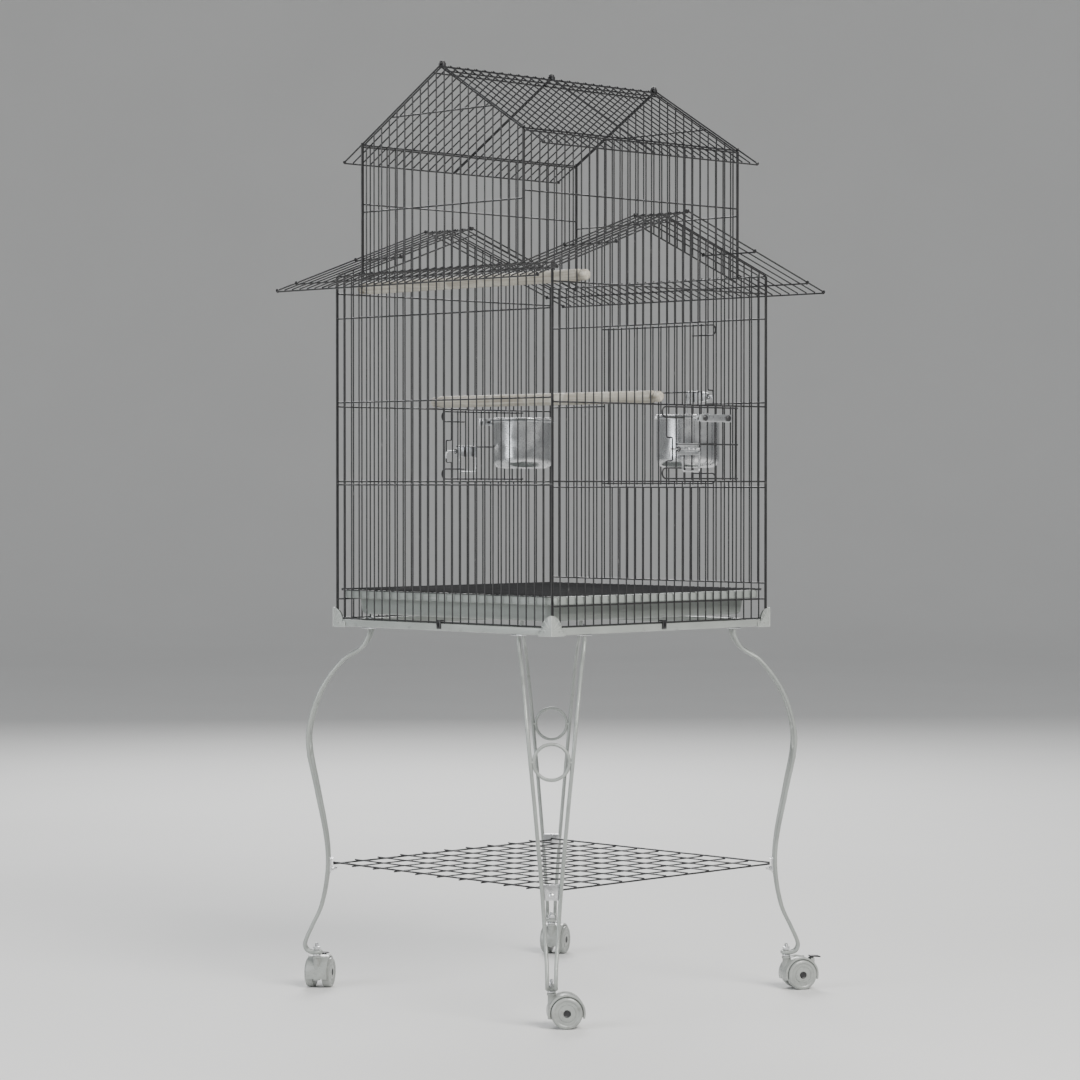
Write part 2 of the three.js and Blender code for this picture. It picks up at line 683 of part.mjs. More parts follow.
function hoodBody(withBrake) {
  const { fender, skin, halfWidth, trail } = CASTER;
  const socket = 5.2;
  const socketTop = STEM.washer - GAP - CASTER.wheel;
  const parts = [
    thick(fenderSector(fender, fender - skin), halfWidth, 9),
    thick(fenderSector(fender - skin / 2, 0), socket, 9),
    rod(socket, [-trail, 0, -9], [-trail, 0, socketTop], 8),
  ];
  if (withBrake) {
    const { near, far, low, high, thick: lugThick } = BRAKE.lug;
    const inner = BRAKE.foot.half + 2 * GAP;
    parts.push(box([near, inner, low], [far, inner + lugThick, high]));
    parts.push(box([near, -inner - lugThick, low], [far, -inner, high]));
  }
  const boreBottom = STEM.bottom - CASTER.wheel - 1;
  return weld(parts)
    .subtract(rod(STEM.radius + 2 * GAP, [-trail, 0, boreBottom], [-trail, 0, socketTop + 1], 8))
    .subtract(rod(3.6, [0, -20, 0], [0, 20, 0], 8));
}

function wheelPair() {
  const { wheel, wheelOut, wheelIn } = CASTER;
  return turned([
    [0, -wheelOut], [wheel, -wheelOut], [wheel, -wheelIn], [3, -wheelIn],
    [3, wheelIn], [wheel, wheelIn], [wheel, wheelOut], [0, wheelOut],
  ], 16).rotate(90, 0, 0);
}

function brakeLever() {
  const { pedal, foot } = BRAKE;
  const plate = box([pedal.near, -pedal.half, pedal.low], [pedal.far, pedal.half, pedal.high]);
  return plate.add(box([foot.near, -foot.half, foot.low], [foot.far, foot.half, pedal.low + GAP]));
}

function stemBody() {
  const { radius, bottom, washer, nut, top } = STEM;
  return turned([
    [0, bottom], [radius, bottom], [radius, washer], [5.8, washer], [5.8, washer + 2.3], [radius, washer + 2.3],
    [radius, nut], [5, nut], [5, nut + 4.4], [radius, nut + 4.4], [radius, top], [0, top],
  ], 6);
}

// Leg name, the leg's diagonal direction, the caster's trail direction, and whether it has a brake.
const CORNERS = [
  ['back_left', 45, -55, true],
  ['back_right', 135, 230, false],
  ['front_right', 225, 242, true],
  ['front_left', 315, -63, false],
];

function buildStand() {
  for (const [name, diagonal, trailAngle, withBrake] of CORNERS) {
    const leg = new THREE.Group();
    leg.rotation.z = THREE.MathUtils.degToRad(diagonal);
    leg.add(meshOf(`leg_${name}`, legBody(), GREY_STEEL));
    leg.add(meshOf(`shelf_bracket_${name}`, shelfBracket(), ZINC));
    const stem = meshOf(`caster_stem_${name}`, stemBody(), ZINC);
    stem.position.x = STEM.r;
    leg.add(stem);
    cage.add(leg);

    const caster = new THREE.Group();
    const out = THREE.MathUtils.degToRad(diagonal);
    const trail = THREE.MathUtils.degToRad(trailAngle);
    caster.position.set(
      STEM.r * Math.cos(out) + CASTER.trail * Math.cos(trail),
      STEM.r * Math.sin(out) + CASTER.trail * Math.sin(trail),
      CASTER.wheel,
    );
    caster.rotation.z = trail;
    caster.add(meshOf(`caster_hood_${name}`, hoodBody(withBrake), GREY_PLASTIC));
    caster.add(meshOf(`caster_wheels_${name}`, wheelPair(), GREY_PLASTIC));
    if (withBrake) {
      caster.add(meshOf(`brake_lever_${name}`, brakeLever(), BLACK_PLASTIC));
    }
    cage.add(caster);
  }
}

buildBase();
buildWalls();
buildRoofs();
buildFloor();
buildDoors();
buildCups();
buildPerches();
buildShelf();
buildStand();

export default cage;
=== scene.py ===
"""Looks of a wire bird cage on a rolling stand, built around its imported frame.

Lengths are in millimetres and become metres when a piece is made. The origin is on the floor
under the cage's centre, +Z is up, and the main door and the tray slot are on the -Y side.
"""
import math

import bmesh
import bpy
from mathutils import Matrix, Vector


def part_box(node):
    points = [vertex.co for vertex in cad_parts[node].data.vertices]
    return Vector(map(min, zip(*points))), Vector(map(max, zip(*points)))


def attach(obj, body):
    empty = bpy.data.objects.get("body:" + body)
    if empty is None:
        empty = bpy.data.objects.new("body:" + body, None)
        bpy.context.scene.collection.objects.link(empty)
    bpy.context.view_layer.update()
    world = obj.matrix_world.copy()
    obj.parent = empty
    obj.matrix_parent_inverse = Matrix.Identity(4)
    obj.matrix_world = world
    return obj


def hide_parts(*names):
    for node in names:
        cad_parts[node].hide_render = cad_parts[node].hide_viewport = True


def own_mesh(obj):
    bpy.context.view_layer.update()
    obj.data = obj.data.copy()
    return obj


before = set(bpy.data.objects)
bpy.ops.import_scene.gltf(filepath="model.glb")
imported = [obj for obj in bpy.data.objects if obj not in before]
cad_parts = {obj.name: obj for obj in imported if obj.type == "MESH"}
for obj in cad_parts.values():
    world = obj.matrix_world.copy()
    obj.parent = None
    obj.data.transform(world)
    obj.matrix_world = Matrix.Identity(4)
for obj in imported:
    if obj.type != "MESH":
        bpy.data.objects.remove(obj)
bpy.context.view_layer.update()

MM = 0.001
TAU = 2 * math.pi
UP = Vector((0, 0, 1))


def show(made):
    """Puts an object in the scene."""
    bpy.context.scene.collection.objects.link(made)
    return made


def span(node):
    """A CAD node's lowest and highest corner in millimetres."""
    low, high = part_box(node)
    return low / MM, high / MM


# ---- driving dimensions, from the frame where a node gives them ----
CAD_WIRE = 2.4
BAR = 1.0
RING = 1.15
INSET = 1.95
BAR_GAPS = 27
HALF = span("front_panel")[1].x - CAD_WIRE / 2
PITCH = 2 * HALF / BAR_GAPS
SIDE_END = HALF - 2.7

RAIL_LOW, RAIL_HIGH = span("base_frame")
WALL_BOTTOM = RAIL_HIGH.z + 1.5
SHOULDER = 1009.3
FRONT_RINGS = (576, 711.4, 949.4, SHOULDER)
BACK_RINGS = (WALL_BOTTOM, 715, 831, 949.4, SHOULDER)
SIDE_RINGS = (WALL_BOTTOM, 719.6, 825.2, 984.6)
MIDDLE_RING = 831
UPPER_HALF = 161
UPPER_RINGS = (1097, 1225)
UPPER_SIDE_RING = 1108
UPPER_FOOT = 7
LOWER_ROOF = {"ridge": 1087, "slope": 0.344, "run": 286, "reach": 260, "inner": 163.7}
TOP_ROOF = {"ridge": 1289, "slope": 0.6, "run": 199}
ROOF_GAP = 2.8

MAIN_DOOR = {
    "node": "main_door", "hinge": 7, "free": 20, "bottom": 717, "middle": 849, "top": 945,
    "past": 10, "latch_in": 26.5, "latch_z": 842, "reach": 31, "tip_drop": 8, "taper": 0.4,
}
FEEDER = {
    "hinge": 4, "free": 13, "bottom": 723.5, "middle": 771, "top": 822,
    "past": 14, "latch_in": 36, "latch_z": 764, "reach": 40, "tip_drop": 10.5, "taper": 0,
}
DOOR_OUT = 3.1
HINGE_CURL = 2.35
HAIRPIN_DROP = 14.6
HAIRPIN_BACK = 45
KEEPER_OUT = 11
BOLT_LINE = 4.8
LATCH_HALF = 20
FINGER_LOOP = {"width": 33.8, "drop": 30.5, "gap": 10.5}
FEEDER_KEEPER = (FEEDER["latch_z"] - 16, FEEDER["latch_z"] + 16)
MAIN_KEEPER = (MIDDLE_RING, MAIN_DOOR["latch_z"] + 9)
HOOP = 46.5
CLAMP = {"near": -28.5, "far": 35, "half": 5.3}

LEG_LINE = [
    (256.3, 44.2, 514.4), (256.8, 44, 504), (268, 41.8, 485), (293, 39.4, 469), (322, 35.4, 431),
    (338, 31.6, 391), (343.5, 27.8, 350), (332, 21.8, 286), (318.5, 15.6, 214), (317, 12, 170),
    (326, 8.6, 119), (341, 6.4, 86), (349.5, 5.8, 65), (347, 5.8, 56), (340, 5.8, 52.6),
    (333, 5.8, 52.5),
]
LEG_ROD = 2.7
LEG_RING = {"out": 343.3, "z": 351, "radius": 23.6}
STEM_R = 333
FOOT_EYE_Z = 52.5
BRACKET_OUT = 312.4
WASHER_Z = 47
TRAIL = 19
WHEEL = 21
PEDAL = {"out": 24, "height": 23.9, "half_length": 7.5, "half_width": 6, "tilt": 5}
CORNERS = [
    ("back_left", 45, -55, True),
    ("back_right", 135, 230, False),
    ("front_right", 225, 242, True),
    ("front_left", 315, -63, False),
]


# ---- mesh helpers ----
def arc(centre, radius, start, end, steps):
    """Points of a flat arc, with its angles in degrees."""
    points = []
    for i in range(steps + 1):
        angle = math.radians(start + (end - start) * i / steps)
        points.append((centre[0] + radius * math.cos(angle), centre[1] + radius * math.sin(angle)))
    return points


def rounded(points, radius, steps=5):
    """A line of points whose corners are rounded, each by no more than its sides allow."""
    points = [Vector(p) for p in points]
    line = [points[0]]
    for before, corner, after in zip(points, points[1:], points[2:]):
        back, ahead = before - corner, after - corner
        half = back.angle(ahead) / 2
        if half > 1.55:
            line.append(corner)
            continue
        reach = min(radius / math.tan(half), 0.45 * min(back.length, ahead.length))
        bend = reach * math.tan(half)
        middle = (back.normalized() + ahead.normalized()).normalized()
        centre = corner + middle * bend / math.sin(half)
        start = corner + back.normalized() * reach - centre
        axis = start.cross(corner + ahead.normalized() * reach - centre)
        for i in range(steps + 1):
            turn = Matrix.Rotation((math.pi - 2 * half) * i / steps, 3, axis)
            line.append(centre + turn @ start)
    line.append(points[-1])
    return line


def rounded_loop(points, radius, steps=3):
    """A closed flat outline with rounded corners, as 2-D points."""
    count = len(points)
    outline = []
    for i in range(count):
        three = [(*points[(i + k) % count], 0) for k in (-1, 0, 1)]
        outline += [(p.x, p.y) for p in rounded(three, radius, steps)[1:-1]]
    return outline


def around(radius, count):
    """Points spaced evenly round a circle."""
    return [(radius * math.cos(TAU * k / count), radius * math.sin(TAU * k / count))
            for k in range(count)]


def hexagon(radius, edge, middle=0):
    """A nut's outline, with its middle at a height on the outline's own plane."""
    return rounded_loop([(x, middle + y) for x, y in around(radius, 6)], edge)


class Form:
    """Closed shells in millimetres, gathered into one mesh. place moves what is added."""

    def __init__(self, place=None):
        self.place = place
        self.points = []
        self.faces = []

    def add(self, points, faces, place=None):
        place = place or self.place
        start = len(self.points)
        for point in points:
            point = Vector(point)
            self.points.append(place @ point if place else point)
        self.faces += [[start + index for index in face] for face in faces]
        return self

    def loft(self, rings, place=None, closed=False):
        """Skins rings of equal count. The ends are capped unless the last ring joins the first."""
        count = len(rings[0])
        points = [point for ring in rings for point in ring]
        faces = []
        for row in range(len(rings) if closed else len(rings) - 1):
            a, b = row * count, (row + 1) % len(rings) * count
            for i in range(count):
                j = (i + 1) % count
                faces.append([a + i, a + j, b + j, b + i])
        if not closed:
            faces.append(list(range(count)))
            faces.append(list(range(len(points) - count, len(points))))
        return self.add(points, faces, place)

    def tube(self, path, radius, sides=8, closed=False, place=None):
        """A round wire along a path, with slightly domed ends."""
        path = [Vector(p) for p in path]
        count = len(path)
        rings = []
        normal = None
        for i, point in enumerate(path):
            before = path[i - 1] if closed or i > 0 else point
            after = path[(i + 1) % count] if closed or i < count - 1 else point
            along = ((after - point).normalized() + (point - before).normalized()).normalized()
            if normal is None:
                normal = along.orthogonal()
            normal = (normal - along * normal.dot(along)).normalized()
            side = along.cross(normal)
            circle = [normal * math.cos(TAU * k / sides) + side * math.sin(TAU * k / sides)
                      for k in range(sides)]
            ring = [point + radius * c for c in circle]
            if not closed and i == 0:
                rings.append([point - along * radius * 0.35 + radius * 0.6 * c for c in circle])
            rings.append(ring)
            if not closed and i == count - 1:
                rings.append([point + along * radius * 0.35 + radius * 0.6 * c for c in circle])
        return self.loft(rings, place, closed)

    def lathe(self, profile, segments=32, place=None):
        """Turns (radius, height) points about Z, between two points on the axis or in a loop."""
        looped = profile[0] == profile[-1]
        rows = profile[:-1] if looped else profile
        points, starts = [], []
        for radius, height in rows:
            starts.append(len(points))
            for k in range(segments if radius > 1e-6 else 1):
                angle = TAU * k / segments
                points.append((radius * math.cos(angle), radius * math.sin(angle), height))
        sizes = [segments if radius > 1e-6 else 1 for radius, _ in rows]
        faces = []
        for row in range(len(rows) if looped else len(rows) - 1):
            after = (row + 1) % len(rows)
            for k in range(segments):
                low = [starts[row] + k % sizes[row], starts[row] + (k + 1) % sizes[row]]
                high = [starts[after] + (k + 1) % sizes[after], starts[after] + k % sizes[after]]
                face = list(dict.fromkeys(low + high))
                if len(face) > 2:
                    faces.append(face)
        return self.add(points, faces, place)

    def shaped(self, shape, place=None):
        """Adds a bmesh and frees it."""
        shape.verts.index_update()
        points = [v.co.copy() for v in shape.verts]
        faces = [[v.index for v in face.verts] for face in shape.faces]
        shape.free()
        return self.add(points, faces, place)

    def block(self, low, high, edge=0.4, place=None):
        """A box with rounded edges."""
        low, high = Vector(low), Vector(high)
        shape = bmesh.new()
        bmesh.ops.create_cube(shape, size=1)
        for vert in shape.verts:
            vert.co = Vector(low[i] + (vert.co[i] + 0.5) * (high[i] - low[i]) for i in range(3))
        bmesh.ops.bevel(shape, geom=shape.edges[:], offset=edge, segments=2, profile=0.5,
                        affect="EDGES")
        return self.shaped(shape, place)

    def plate(self, outline, low, high, edge=0.3, place=None):
        """A flat outline raised from low to high, with its rims rounded."""
        shape = bmesh.new()
        bottom = shape.faces.new([shape.verts.new((x, y, low)) for x, y in outline])
        raised = bmesh.ops.extrude_face_region(shape, geom=[bottom])["geom"]
        for vert in raised:
            if isinstance(vert, bmesh.types.BMVert):
                vert.co.z = high
        rims = [e for e in shape.edges if abs(e.verts[0].co.z - e.verts[1].co.z) < 1e-6]
        bmesh.ops.bevel(shape, geom=rims, offset=edge, segments=2, profile=0.5, affect="EDGES")
        return self.shaped(shape, place)

    def ring(self, centre, axis, radius, wire, place=None, steps=14, sides=8):
        """A small closed ring of wire."""
        axis = Vector(axis)
        start = axis.orthogonal().normalized() * radius
        path = [Vector(centre) + Matrix.Rotation(TAU * i / steps, 3, axis) @ start
                for i in range(steps)]
        return self.tube(path, wire, sides, True, place)


def piece(name, form, look, body, *nodes, crease=35):
    """Makes a form into an object that rides on a body and stands for CAD nodes."""
    mesh = bpy.data.meshes.new(name)
    mesh.from_pydata([point * MM for point in form.points], [], form.faces)
    shape = bmesh.new()
    shape.from_mesh(mesh)
    bmesh.ops.recalc_face_normals(shape, faces=shape.faces)
    shape.to_mesh(mesh)
    shape.free()
    mesh.shade_smooth()
    mesh.set_sharp_from_angle(angle=math.radians(crease))
    made = show(bpy.data.objects.new(name, mesh))
    finish, slot = look
    mesh.materials.append(finish)
    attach(made, body)
    if nodes:
        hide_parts(*nodes)
    return made


def axes(across, up, out, at=(0, 0, 0)):
    """A placement whose x, y and z run along three given directions."""
    turn = Matrix([across, up, out]).transposed().to_4x4()
    return Matrix.Translation(Vector(at)) @ turn


def turned_about_z(degrees, at=(0, 0, 0)):
    return Matrix.Translation(Vector(at)) @ Matrix.Rotation(math.radians(degrees), 4, "Z")


def stem_spot(diagonal):
    """The point on the floor under a caster's stem."""
    return turned_about_z(diagonal) @ Vector((STEM_R, 0, 0))


def bar_at(index):
    return -HALF + index * PITCH


# ---- materials ----
class Surface:
    """A node material being built. Its texture coordinates are the object's own, in metres."""

    def __init__(self, name, colour, roughness, metallic=0.0, coat=0.0):
        self.base = colour
        self.material = bpy.data.materials.new(name)
        self.material.use_nodes = True
        self.tree = self.material.node_tree
        self.shader = self.tree.nodes["Principled BSDF"]
        self.shader.inputs["Base Color"].default_value = (*colour, 1)
        self.shader.inputs["Roughness"].default_value = roughness
        self.shader.inputs["Metallic"].default_value = metallic
        self.shader.inputs["Coat Weight"].default_value = coat
        self.place = self.tree.nodes.new("ShaderNodeTexCoord").outputs["Object"]

    def node(self, kind, **values):
        made = self.tree.nodes.new(kind)
        for key, value in values.items():
            setattr(made, key, value)
        return made

    def link(self, source, target):
        self.tree.links.new(source, target)

    def stretched(self, scale):
        mapping = self.node("ShaderNodeMapping")
        mapping.inputs["Scale"].default_value = scale
        self.link(self.place, mapping.inputs["Vector"])
        return mapping.outputs["Vector"]

    def noise(self, scale, detail=3.0, stretch=None, distortion=0.0):
        made = self.node("ShaderNodeTexNoise")
        made.inputs["Scale"].default_value = scale
        made.inputs["Detail"].default_value = detail
        made.inputs["Distortion"].default_value = distortion
        self.link(self.stretched(stretch) if stretch else self.place, made.inputs["Vector"])
        return made.outputs["Fac"]

    def cells(self, scale):
        made = self.node("ShaderNodeTexVoronoi")
        made.inputs["Scale"].default_value = scale
        self.link(self.place, made.inputs["Vector"])
        return made.outputs["Distance"]

    def ramp(self, factor, stops):
        made = self.node("ShaderNodeValToRGB")
        elements = made.color_ramp.elements
        while len(elements) < len(stops):
            elements.new(0.5)
        for element, (at, colour) in zip(elements, stops):
            element.position = at
            element.color = (*colour, 1)
        self.link(factor, made.inputs["Fac"])
        return made.outputs["Color"]

    def mottled(self, factor, first, last, start=0.3, end=0.7):
        """The surface's own colour, scaled from one factor to another along a texture."""
        colours = [tuple(min(c * scale, 1) for c in self.base) for scale in (first, last)]
        return self.ramp(factor, [(start, colours[0]), (end, colours[1])])

    def spread(self, factor, low, high, start=0.3, end=0.7):
        made = self.node("ShaderNodeMapRange")
        for name, value in (("From Min", start), ("From Max", end), ("To Min", low), ("To Max", high)):
            made.inputs[name].default_value = value
        self.link(factor, made.inputs["Value"])
        return made.outputs["Result"]

    def mix(self, factor, first, second):
        made = self.node("ShaderNodeMix", data_type="RGBA")
        self.link(factor, made.inputs["Factor"])
        for key, value in (("A", first), ("B", second)):
            socket = [s for s in made.inputs if s.name == key and s.type == "RGBA"][0]
            if isinstance(value, tuple):
                socket.default_value = (*value, 1)
            else:
                self.link(value, socket)
        return [s for s in made.outputs if s.type == "RGBA"][0]

    def edges(self):
        """Where the surface is most convex, which is where a finish wears first."""
        return self.spread(self.node("ShaderNodeNewGeometry").outputs["Pointiness"], 0, 1, 0.52, 0.6)

    def colour(self, source):
        self.link(source, self.shader.inputs["Base Color"])

    def gloss(self, source):
        self.link(source, self.shader.inputs["Roughness"])

    def relief(self, *heights):
        """Chained bumps, each given as (height, strength, distance in metres)."""
        normal = None
        for height, strength, distance in heights:
            made = self.node("ShaderNodeBump")
            made.inputs["Strength"].default_value = strength
            made.inputs["Distance"].default_value = distance
            self.link(height, made.inputs["Height"])
            if normal:
                self.link(normal, made.inputs["Normal"])
            normal = made.outputs["Normal"]
        self.link(normal, self.shader.inputs["Normal"])


def black_wire():
    surface = Surface("black_powder_coat", (0.012, 0.012, 0.013), 0.46)
    tone = surface.noise(38, 5)
    base = surface.ramp(tone, [(0.3, (0.006, 0.006, 0.007)), (0.75, (0.019, 0.019, 0.02))])
    rub = surface.spread(surface.noise(95, 6), 0, 1, 0.68, 0.74)
    surface.colour(surface.mix(rub, base, (0.07, 0.07, 0.07)))
    surface.gloss(surface.spread(surface.noise(140, 4), 0.36, 0.56))
    surface.relief((surface.noise(1500, 2), 0.25, 0.0002), (surface.noise(320, 3), 0.2, 0.0004))
    return surface.material, "wire_black"


def grey_coat():
    surface = Surface("grey_hammered_coat", (0.25, 0.268, 0.254), 0.36, 0.15, 0.25)
    base = surface.mottled(surface.noise(22, 6), 0.8, 1.1)
    worn = surface.mix(surface.edges(), base, (0.4, 0.42, 0.4))
    grime = surface.spread(surface.noise(60, 7, distortion=0.6), 0, 0.5, 0.6, 0.75)
    surface.colour(surface.mix(grime, worn, (0.13, 0.135, 0.125)))
    surface.gloss(surface.spread(surface.noise(90, 4), 0.28, 0.46))
    surface.relief((surface.cells(420), 0.3, 0.0006), (surface.noise(900, 3), 0.15, 0.0003))
    return surface.material, "frame_grey"


def moulded_grey():
    surface = Surface("tray_plastic", (0.235, 0.255, 0.24), 0.48)
    base = surface.mottled(surface.noise(9, 4), 0.86, 1.08, 0.35, 0.65)
    scuff = surface.spread(surface.noise(30, 8, (1, 1, 14)), 0, 0.4, 0.62, 0.72)
    surface.colour(surface.mix(scuff, base, (0.36, 0.375, 0.36)))
    surface.gloss(surface.spread(surface.noise(55, 5), 0.38, 0.58))
    surface.relief((surface.noise(2600, 2), 0.3, 0.00015), (surface.noise(6, 2), 0.3, 0.004))
    return surface.material, "tray_plastic"


def black_nylon():
    surface = Surface("black_nylon", (0.014, 0.014, 0.015), 0.42)
    surface.colour(surface.ramp(surface.noise(150, 4), [
        (0.3, (0.009, 0.009, 0.01)), (0.75, (0.03, 0.03, 0.032))]))
    surface.gloss(surface.spread(surface.noise(260, 4), 0.3, 0.52))
    surface.relief((surface.noise(2400, 2), 0.3, 0.00015))
    return surface.material, "clip_black"


def spun_steel():
    surface = Surface("spun_steel", (0.6, 0.61, 0.62), 0.2, 1.0)
    surface.colour(surface.mottled(surface.noise(40, 6), 0.88, 1.06))
    surface.gloss(surface.spread(surface.noise(48, 4, distortion=0.5), 0.13, 0.3))
    surface.relief((surface.noise(1, 3, (60, 60, 4200)), 0.12, 0.0001))
    return surface.material, "cup_steel"


def dowel_wood():
    surface = Surface("turned_dowel", (0.4, 0.37, 0.31), 0.62)
    grain = surface.noise(1, 6, (9, 260, 260), 0.8)
    base = surface.ramp(grain, [
        (0.28, (0.25, 0.225, 0.18)), (0.5, (0.38, 0.355, 0.3)), (0.72, (0.48, 0.46, 0.405))])
    pores = surface.noise(1, 3, (70, 1900, 1900))
    scratched = surface.mix(surface.spread(pores, 0, 0.6, 0.63, 0.72), base, (0.15, 0.13, 0.1))
    scrape = surface.spread(surface.noise(26, 7, (1.5, 1, 1)), 0, 0.5, 0.6, 0.68)
    surface.colour(surface.mix(scrape, scratched, (0.55, 0.535, 0.49)))
    surface.gloss(surface.spread(grain, 0.5, 0.72))
    surface.relief((grain, 0.35, 0.0006), (pores, 0.3, 0.0003))
    return surface.material, "perch_wood"


def caster_nylon():
    surface = Surface("caster_nylon", (0.3, 0.315, 0.3), 0.3, 0.0, 0.2)
    base = surface.mottled(surface.noise(45, 5), 0.84, 1.08)
    dust = surface.spread(surface.noise(120, 8), 0, 0.45, 0.58, 0.72)
    surface.colour(surface.mix(dust, base, (0.17, 0.165, 0.15)))
    surface.gloss(surface.spread(surface.noise(110, 4), 0.22, 0.42))
    surface.relief((surface.noise(1400, 2), 0.2, 0.00015), (surface.noise(70, 3), 0.15, 0.0008))
    return surface.material, "caster_plastic"


def bright_zinc():
    surface = Surface("bright_zinc", (0.68, 0.69, 0.7), 0.28, 1.0)
    surface.colour(surface.mottled(surface.cells(260), 1.06, 0.92, 0.1, 0.6))
    surface.gloss(surface.spread(surface.noise(210, 5), 0.24, 0.4))
    surface.relief((surface.noise(1100, 3), 0.1, 0.0001))
    return surface.material, "hardware_zinc"


BLACK_WIRE = black_wire()
GREY_COAT = grey_coat()
MOULDED_GREY = moulded_grey()
BLACK_NYLON = black_nylon()
SPUN_STEEL = spun_steel()
DOWEL_WOOD = dowel_wood()
CASTER_NYLON = caster_nylon()
BRIGHT_ZINC = bright_zinc()


# ---- stage, lights and camera ----
def build_stage():
    """A wide pale floor that curves up far behind the cage."""
    flat, bend, sides = 9000, 4000, 64
    line = [(flat * 0.7, 0)] + arc((flat, bend), bend, -90, 0, 12) + [(flat + bend, bend + 3000)]
    points = [(x, y, z) for r, z in line for x, y in around(r, sides)]
    faces = [list(range(sides))]
    for row in range(len(line) - 1):
        a, b = row * sides, (row + 1) * sides
        for k in range(sides):
            j = (k + 1) % sides
            faces.append([a + k, b + k, b + j, a + j])
    mesh = bpy.data.meshes.new("studio_floor")
    mesh.from_pydata([Vector(p) * MM for p in points], [], faces)
    mesh.shade_smooth()
    surface = Surface("studio_floor", (0.72, 0.72, 0.71), 0.85)
    surface.colour(surface.ramp(surface.noise(1.5, 3), [
        (0.3, (0.71, 0.71, 0.7)), (0.7, (0.73, 0.73, 0.72))]))
    mesh.materials.append(surface.material)
    show(bpy.data.objects.new("studio_floor", mesh))


def soft_light(name, at, aim, size, power, colour=(1, 1, 1)):
    data = bpy.data.lights.new(name, "AREA")
    data.shape = "DISK"
    data.size = size
    data.energy = power
    data.color = colour
    lamp = show(bpy.data.objects.new(name, data))
    lamp.location = at
    lamp.rotation_euler = (Vector(aim) - Vector(at)).to_track_quat("-Z", "Y").to_euler()


def build_lights():
    world = bpy.data.worlds.new("studio")
    world.use_nodes = True
    background = world.node_tree.nodes["Background"]
    background.inputs["Color"].default_value = (0.95, 0.97, 1, 1)
    background.inputs["Strength"].default_value = 0.42
    bpy.context.scene.world = world
    middle = (0, 0, 0.65)
    soft_light("key", (-3.4, 0.6, 3.2), middle, 2.4, 260, (1, 0.98, 0.95))
    soft_light("fill", (0.8, 3.6, 1.6), middle, 2.6, 90, (0.94, 0.97, 1))
    soft_light("rim", (2.8, -2.4, 2.8), middle, 2.2, 150)


def build_camera():
    """A long lens just above half height that looks at the back right corner."""
    data = bpy.data.cameras.new("camera")
    data.lens = 108.08
    camera = show(bpy.data.objects.new("camera", data))
    camera.location = (-3.2443, 3.2475, 0.7166)
    camera.rotation_euler = (math.radians(89.004), 0, math.radians(225.174))
    bpy.context.scene.camera = camera


# ---- walls. In a wall's own frame x runs along it, y is height, and z is inward from its bars ----
WALL_PLACES = {
    "front": axes((1, 0, 0), UP, (0, 1, 0), (0, -HALF, 0)),
    "back": axes((1, 0, 0), UP, (0, -1, 0), (0, HALF, 0)),
    "left": axes((0, 1, 0), UP, (-1, 0, 0), (HALF, 0, 0)),
    "right": axes((0, 1, 0), UP, (1, 0, 0), (-HALF, 0, 0)),
}


def under_roof(roof, run):
    lift = ROOF_GAP / math.cos(math.atan(roof["slope"]))
    return roof["ridge"] - roof["slope"] * abs(run) - lift


def bar(form, u, low, high, keeper=None):
    """An upright bar. A keeper's bar steps outward between two heights to pass over a bolt."""
    path = [(u, low, 0), (u, high, 0)]
    if keeper:
        first, last = keeper
        path[1:1] = [(u, first, 0), (u, first, -KEEPER_OUT), (u, last, -KEEPER_OUT), (u, last, 0)]
        path = rounded(path, 2.2)
    form.tube(path, BAR)


def cross_wire(form, start, end, height, depth=INSET):
    form.tube([(start, height, depth), (end, height, depth)], RING)


def end_wall(side):
    """The front or back wall, from the base frame up to the top roof."""
    form = Form(WALL_PLACES[side])
    is_front = side == "front"
    hinge, free = -bar_at(MAIN_DOOR["hinge"]), -bar_at(MAIN_DOOR["free"])
    for index in range(BAR_GAPS + 1):
        u = bar_at(index)
        top = under_roof(TOP_ROOF, u) - BAR if abs(u) < UPPER_HALF else SHOULDER
        outer = index in (0, BAR_GAPS)
        foot = RAIL_HIGH.z + 0.4 if outer or not is_front else FRONT_RINGS[0]
        if is_front and abs(u) < hinge - 1:
            bar(form, u, foot, FRONT_RINGS[1])
            bar(form, u, FRONT_RINGS[2], top)
        else:
            keeper = MAIN_KEEPER if is_front and abs(u - free) < 1 else None
            bar(form, u, foot, top, keeper)
    for height in FRONT_RINGS if is_front else BACK_RINGS:
        depth = 0 if height == WALL_BOTTOM else INSET
        cross_wire(form, -HALF, HALF, height, depth)
    if is_front:
        cross_wire(form, -HALF, free, MIDDLE_RING)
        cross_wire(form, hinge, HALF, MIDDLE_RING)
    low, high = UPPER_RINGS
    gable_half = (under_roof(TOP_ROOF, 0) - high) / TOP_ROOF["slope"]
    cross_wire(form, -UPPER_HALF, UPPER_HALF, low)
    cross_wire(form, -gable_half, gable_half, high)
    for edge in (-UPPER_HALF, UPPER_HALF):
        form.tube([(edge, SHOULDER, 0), (edge, under_roof(TOP_ROOF, edge), 0)], RING)
    slope = [(u, under_roof(TOP_ROOF, u), INSET) for u in (-UPPER_HALF, 0, UPPER_HALF)]
    form.tube(rounded(slope, 4), RING)
    piece(f"{side}_wall", form, BLACK_WIRE, "cage", f"{side}_panel")


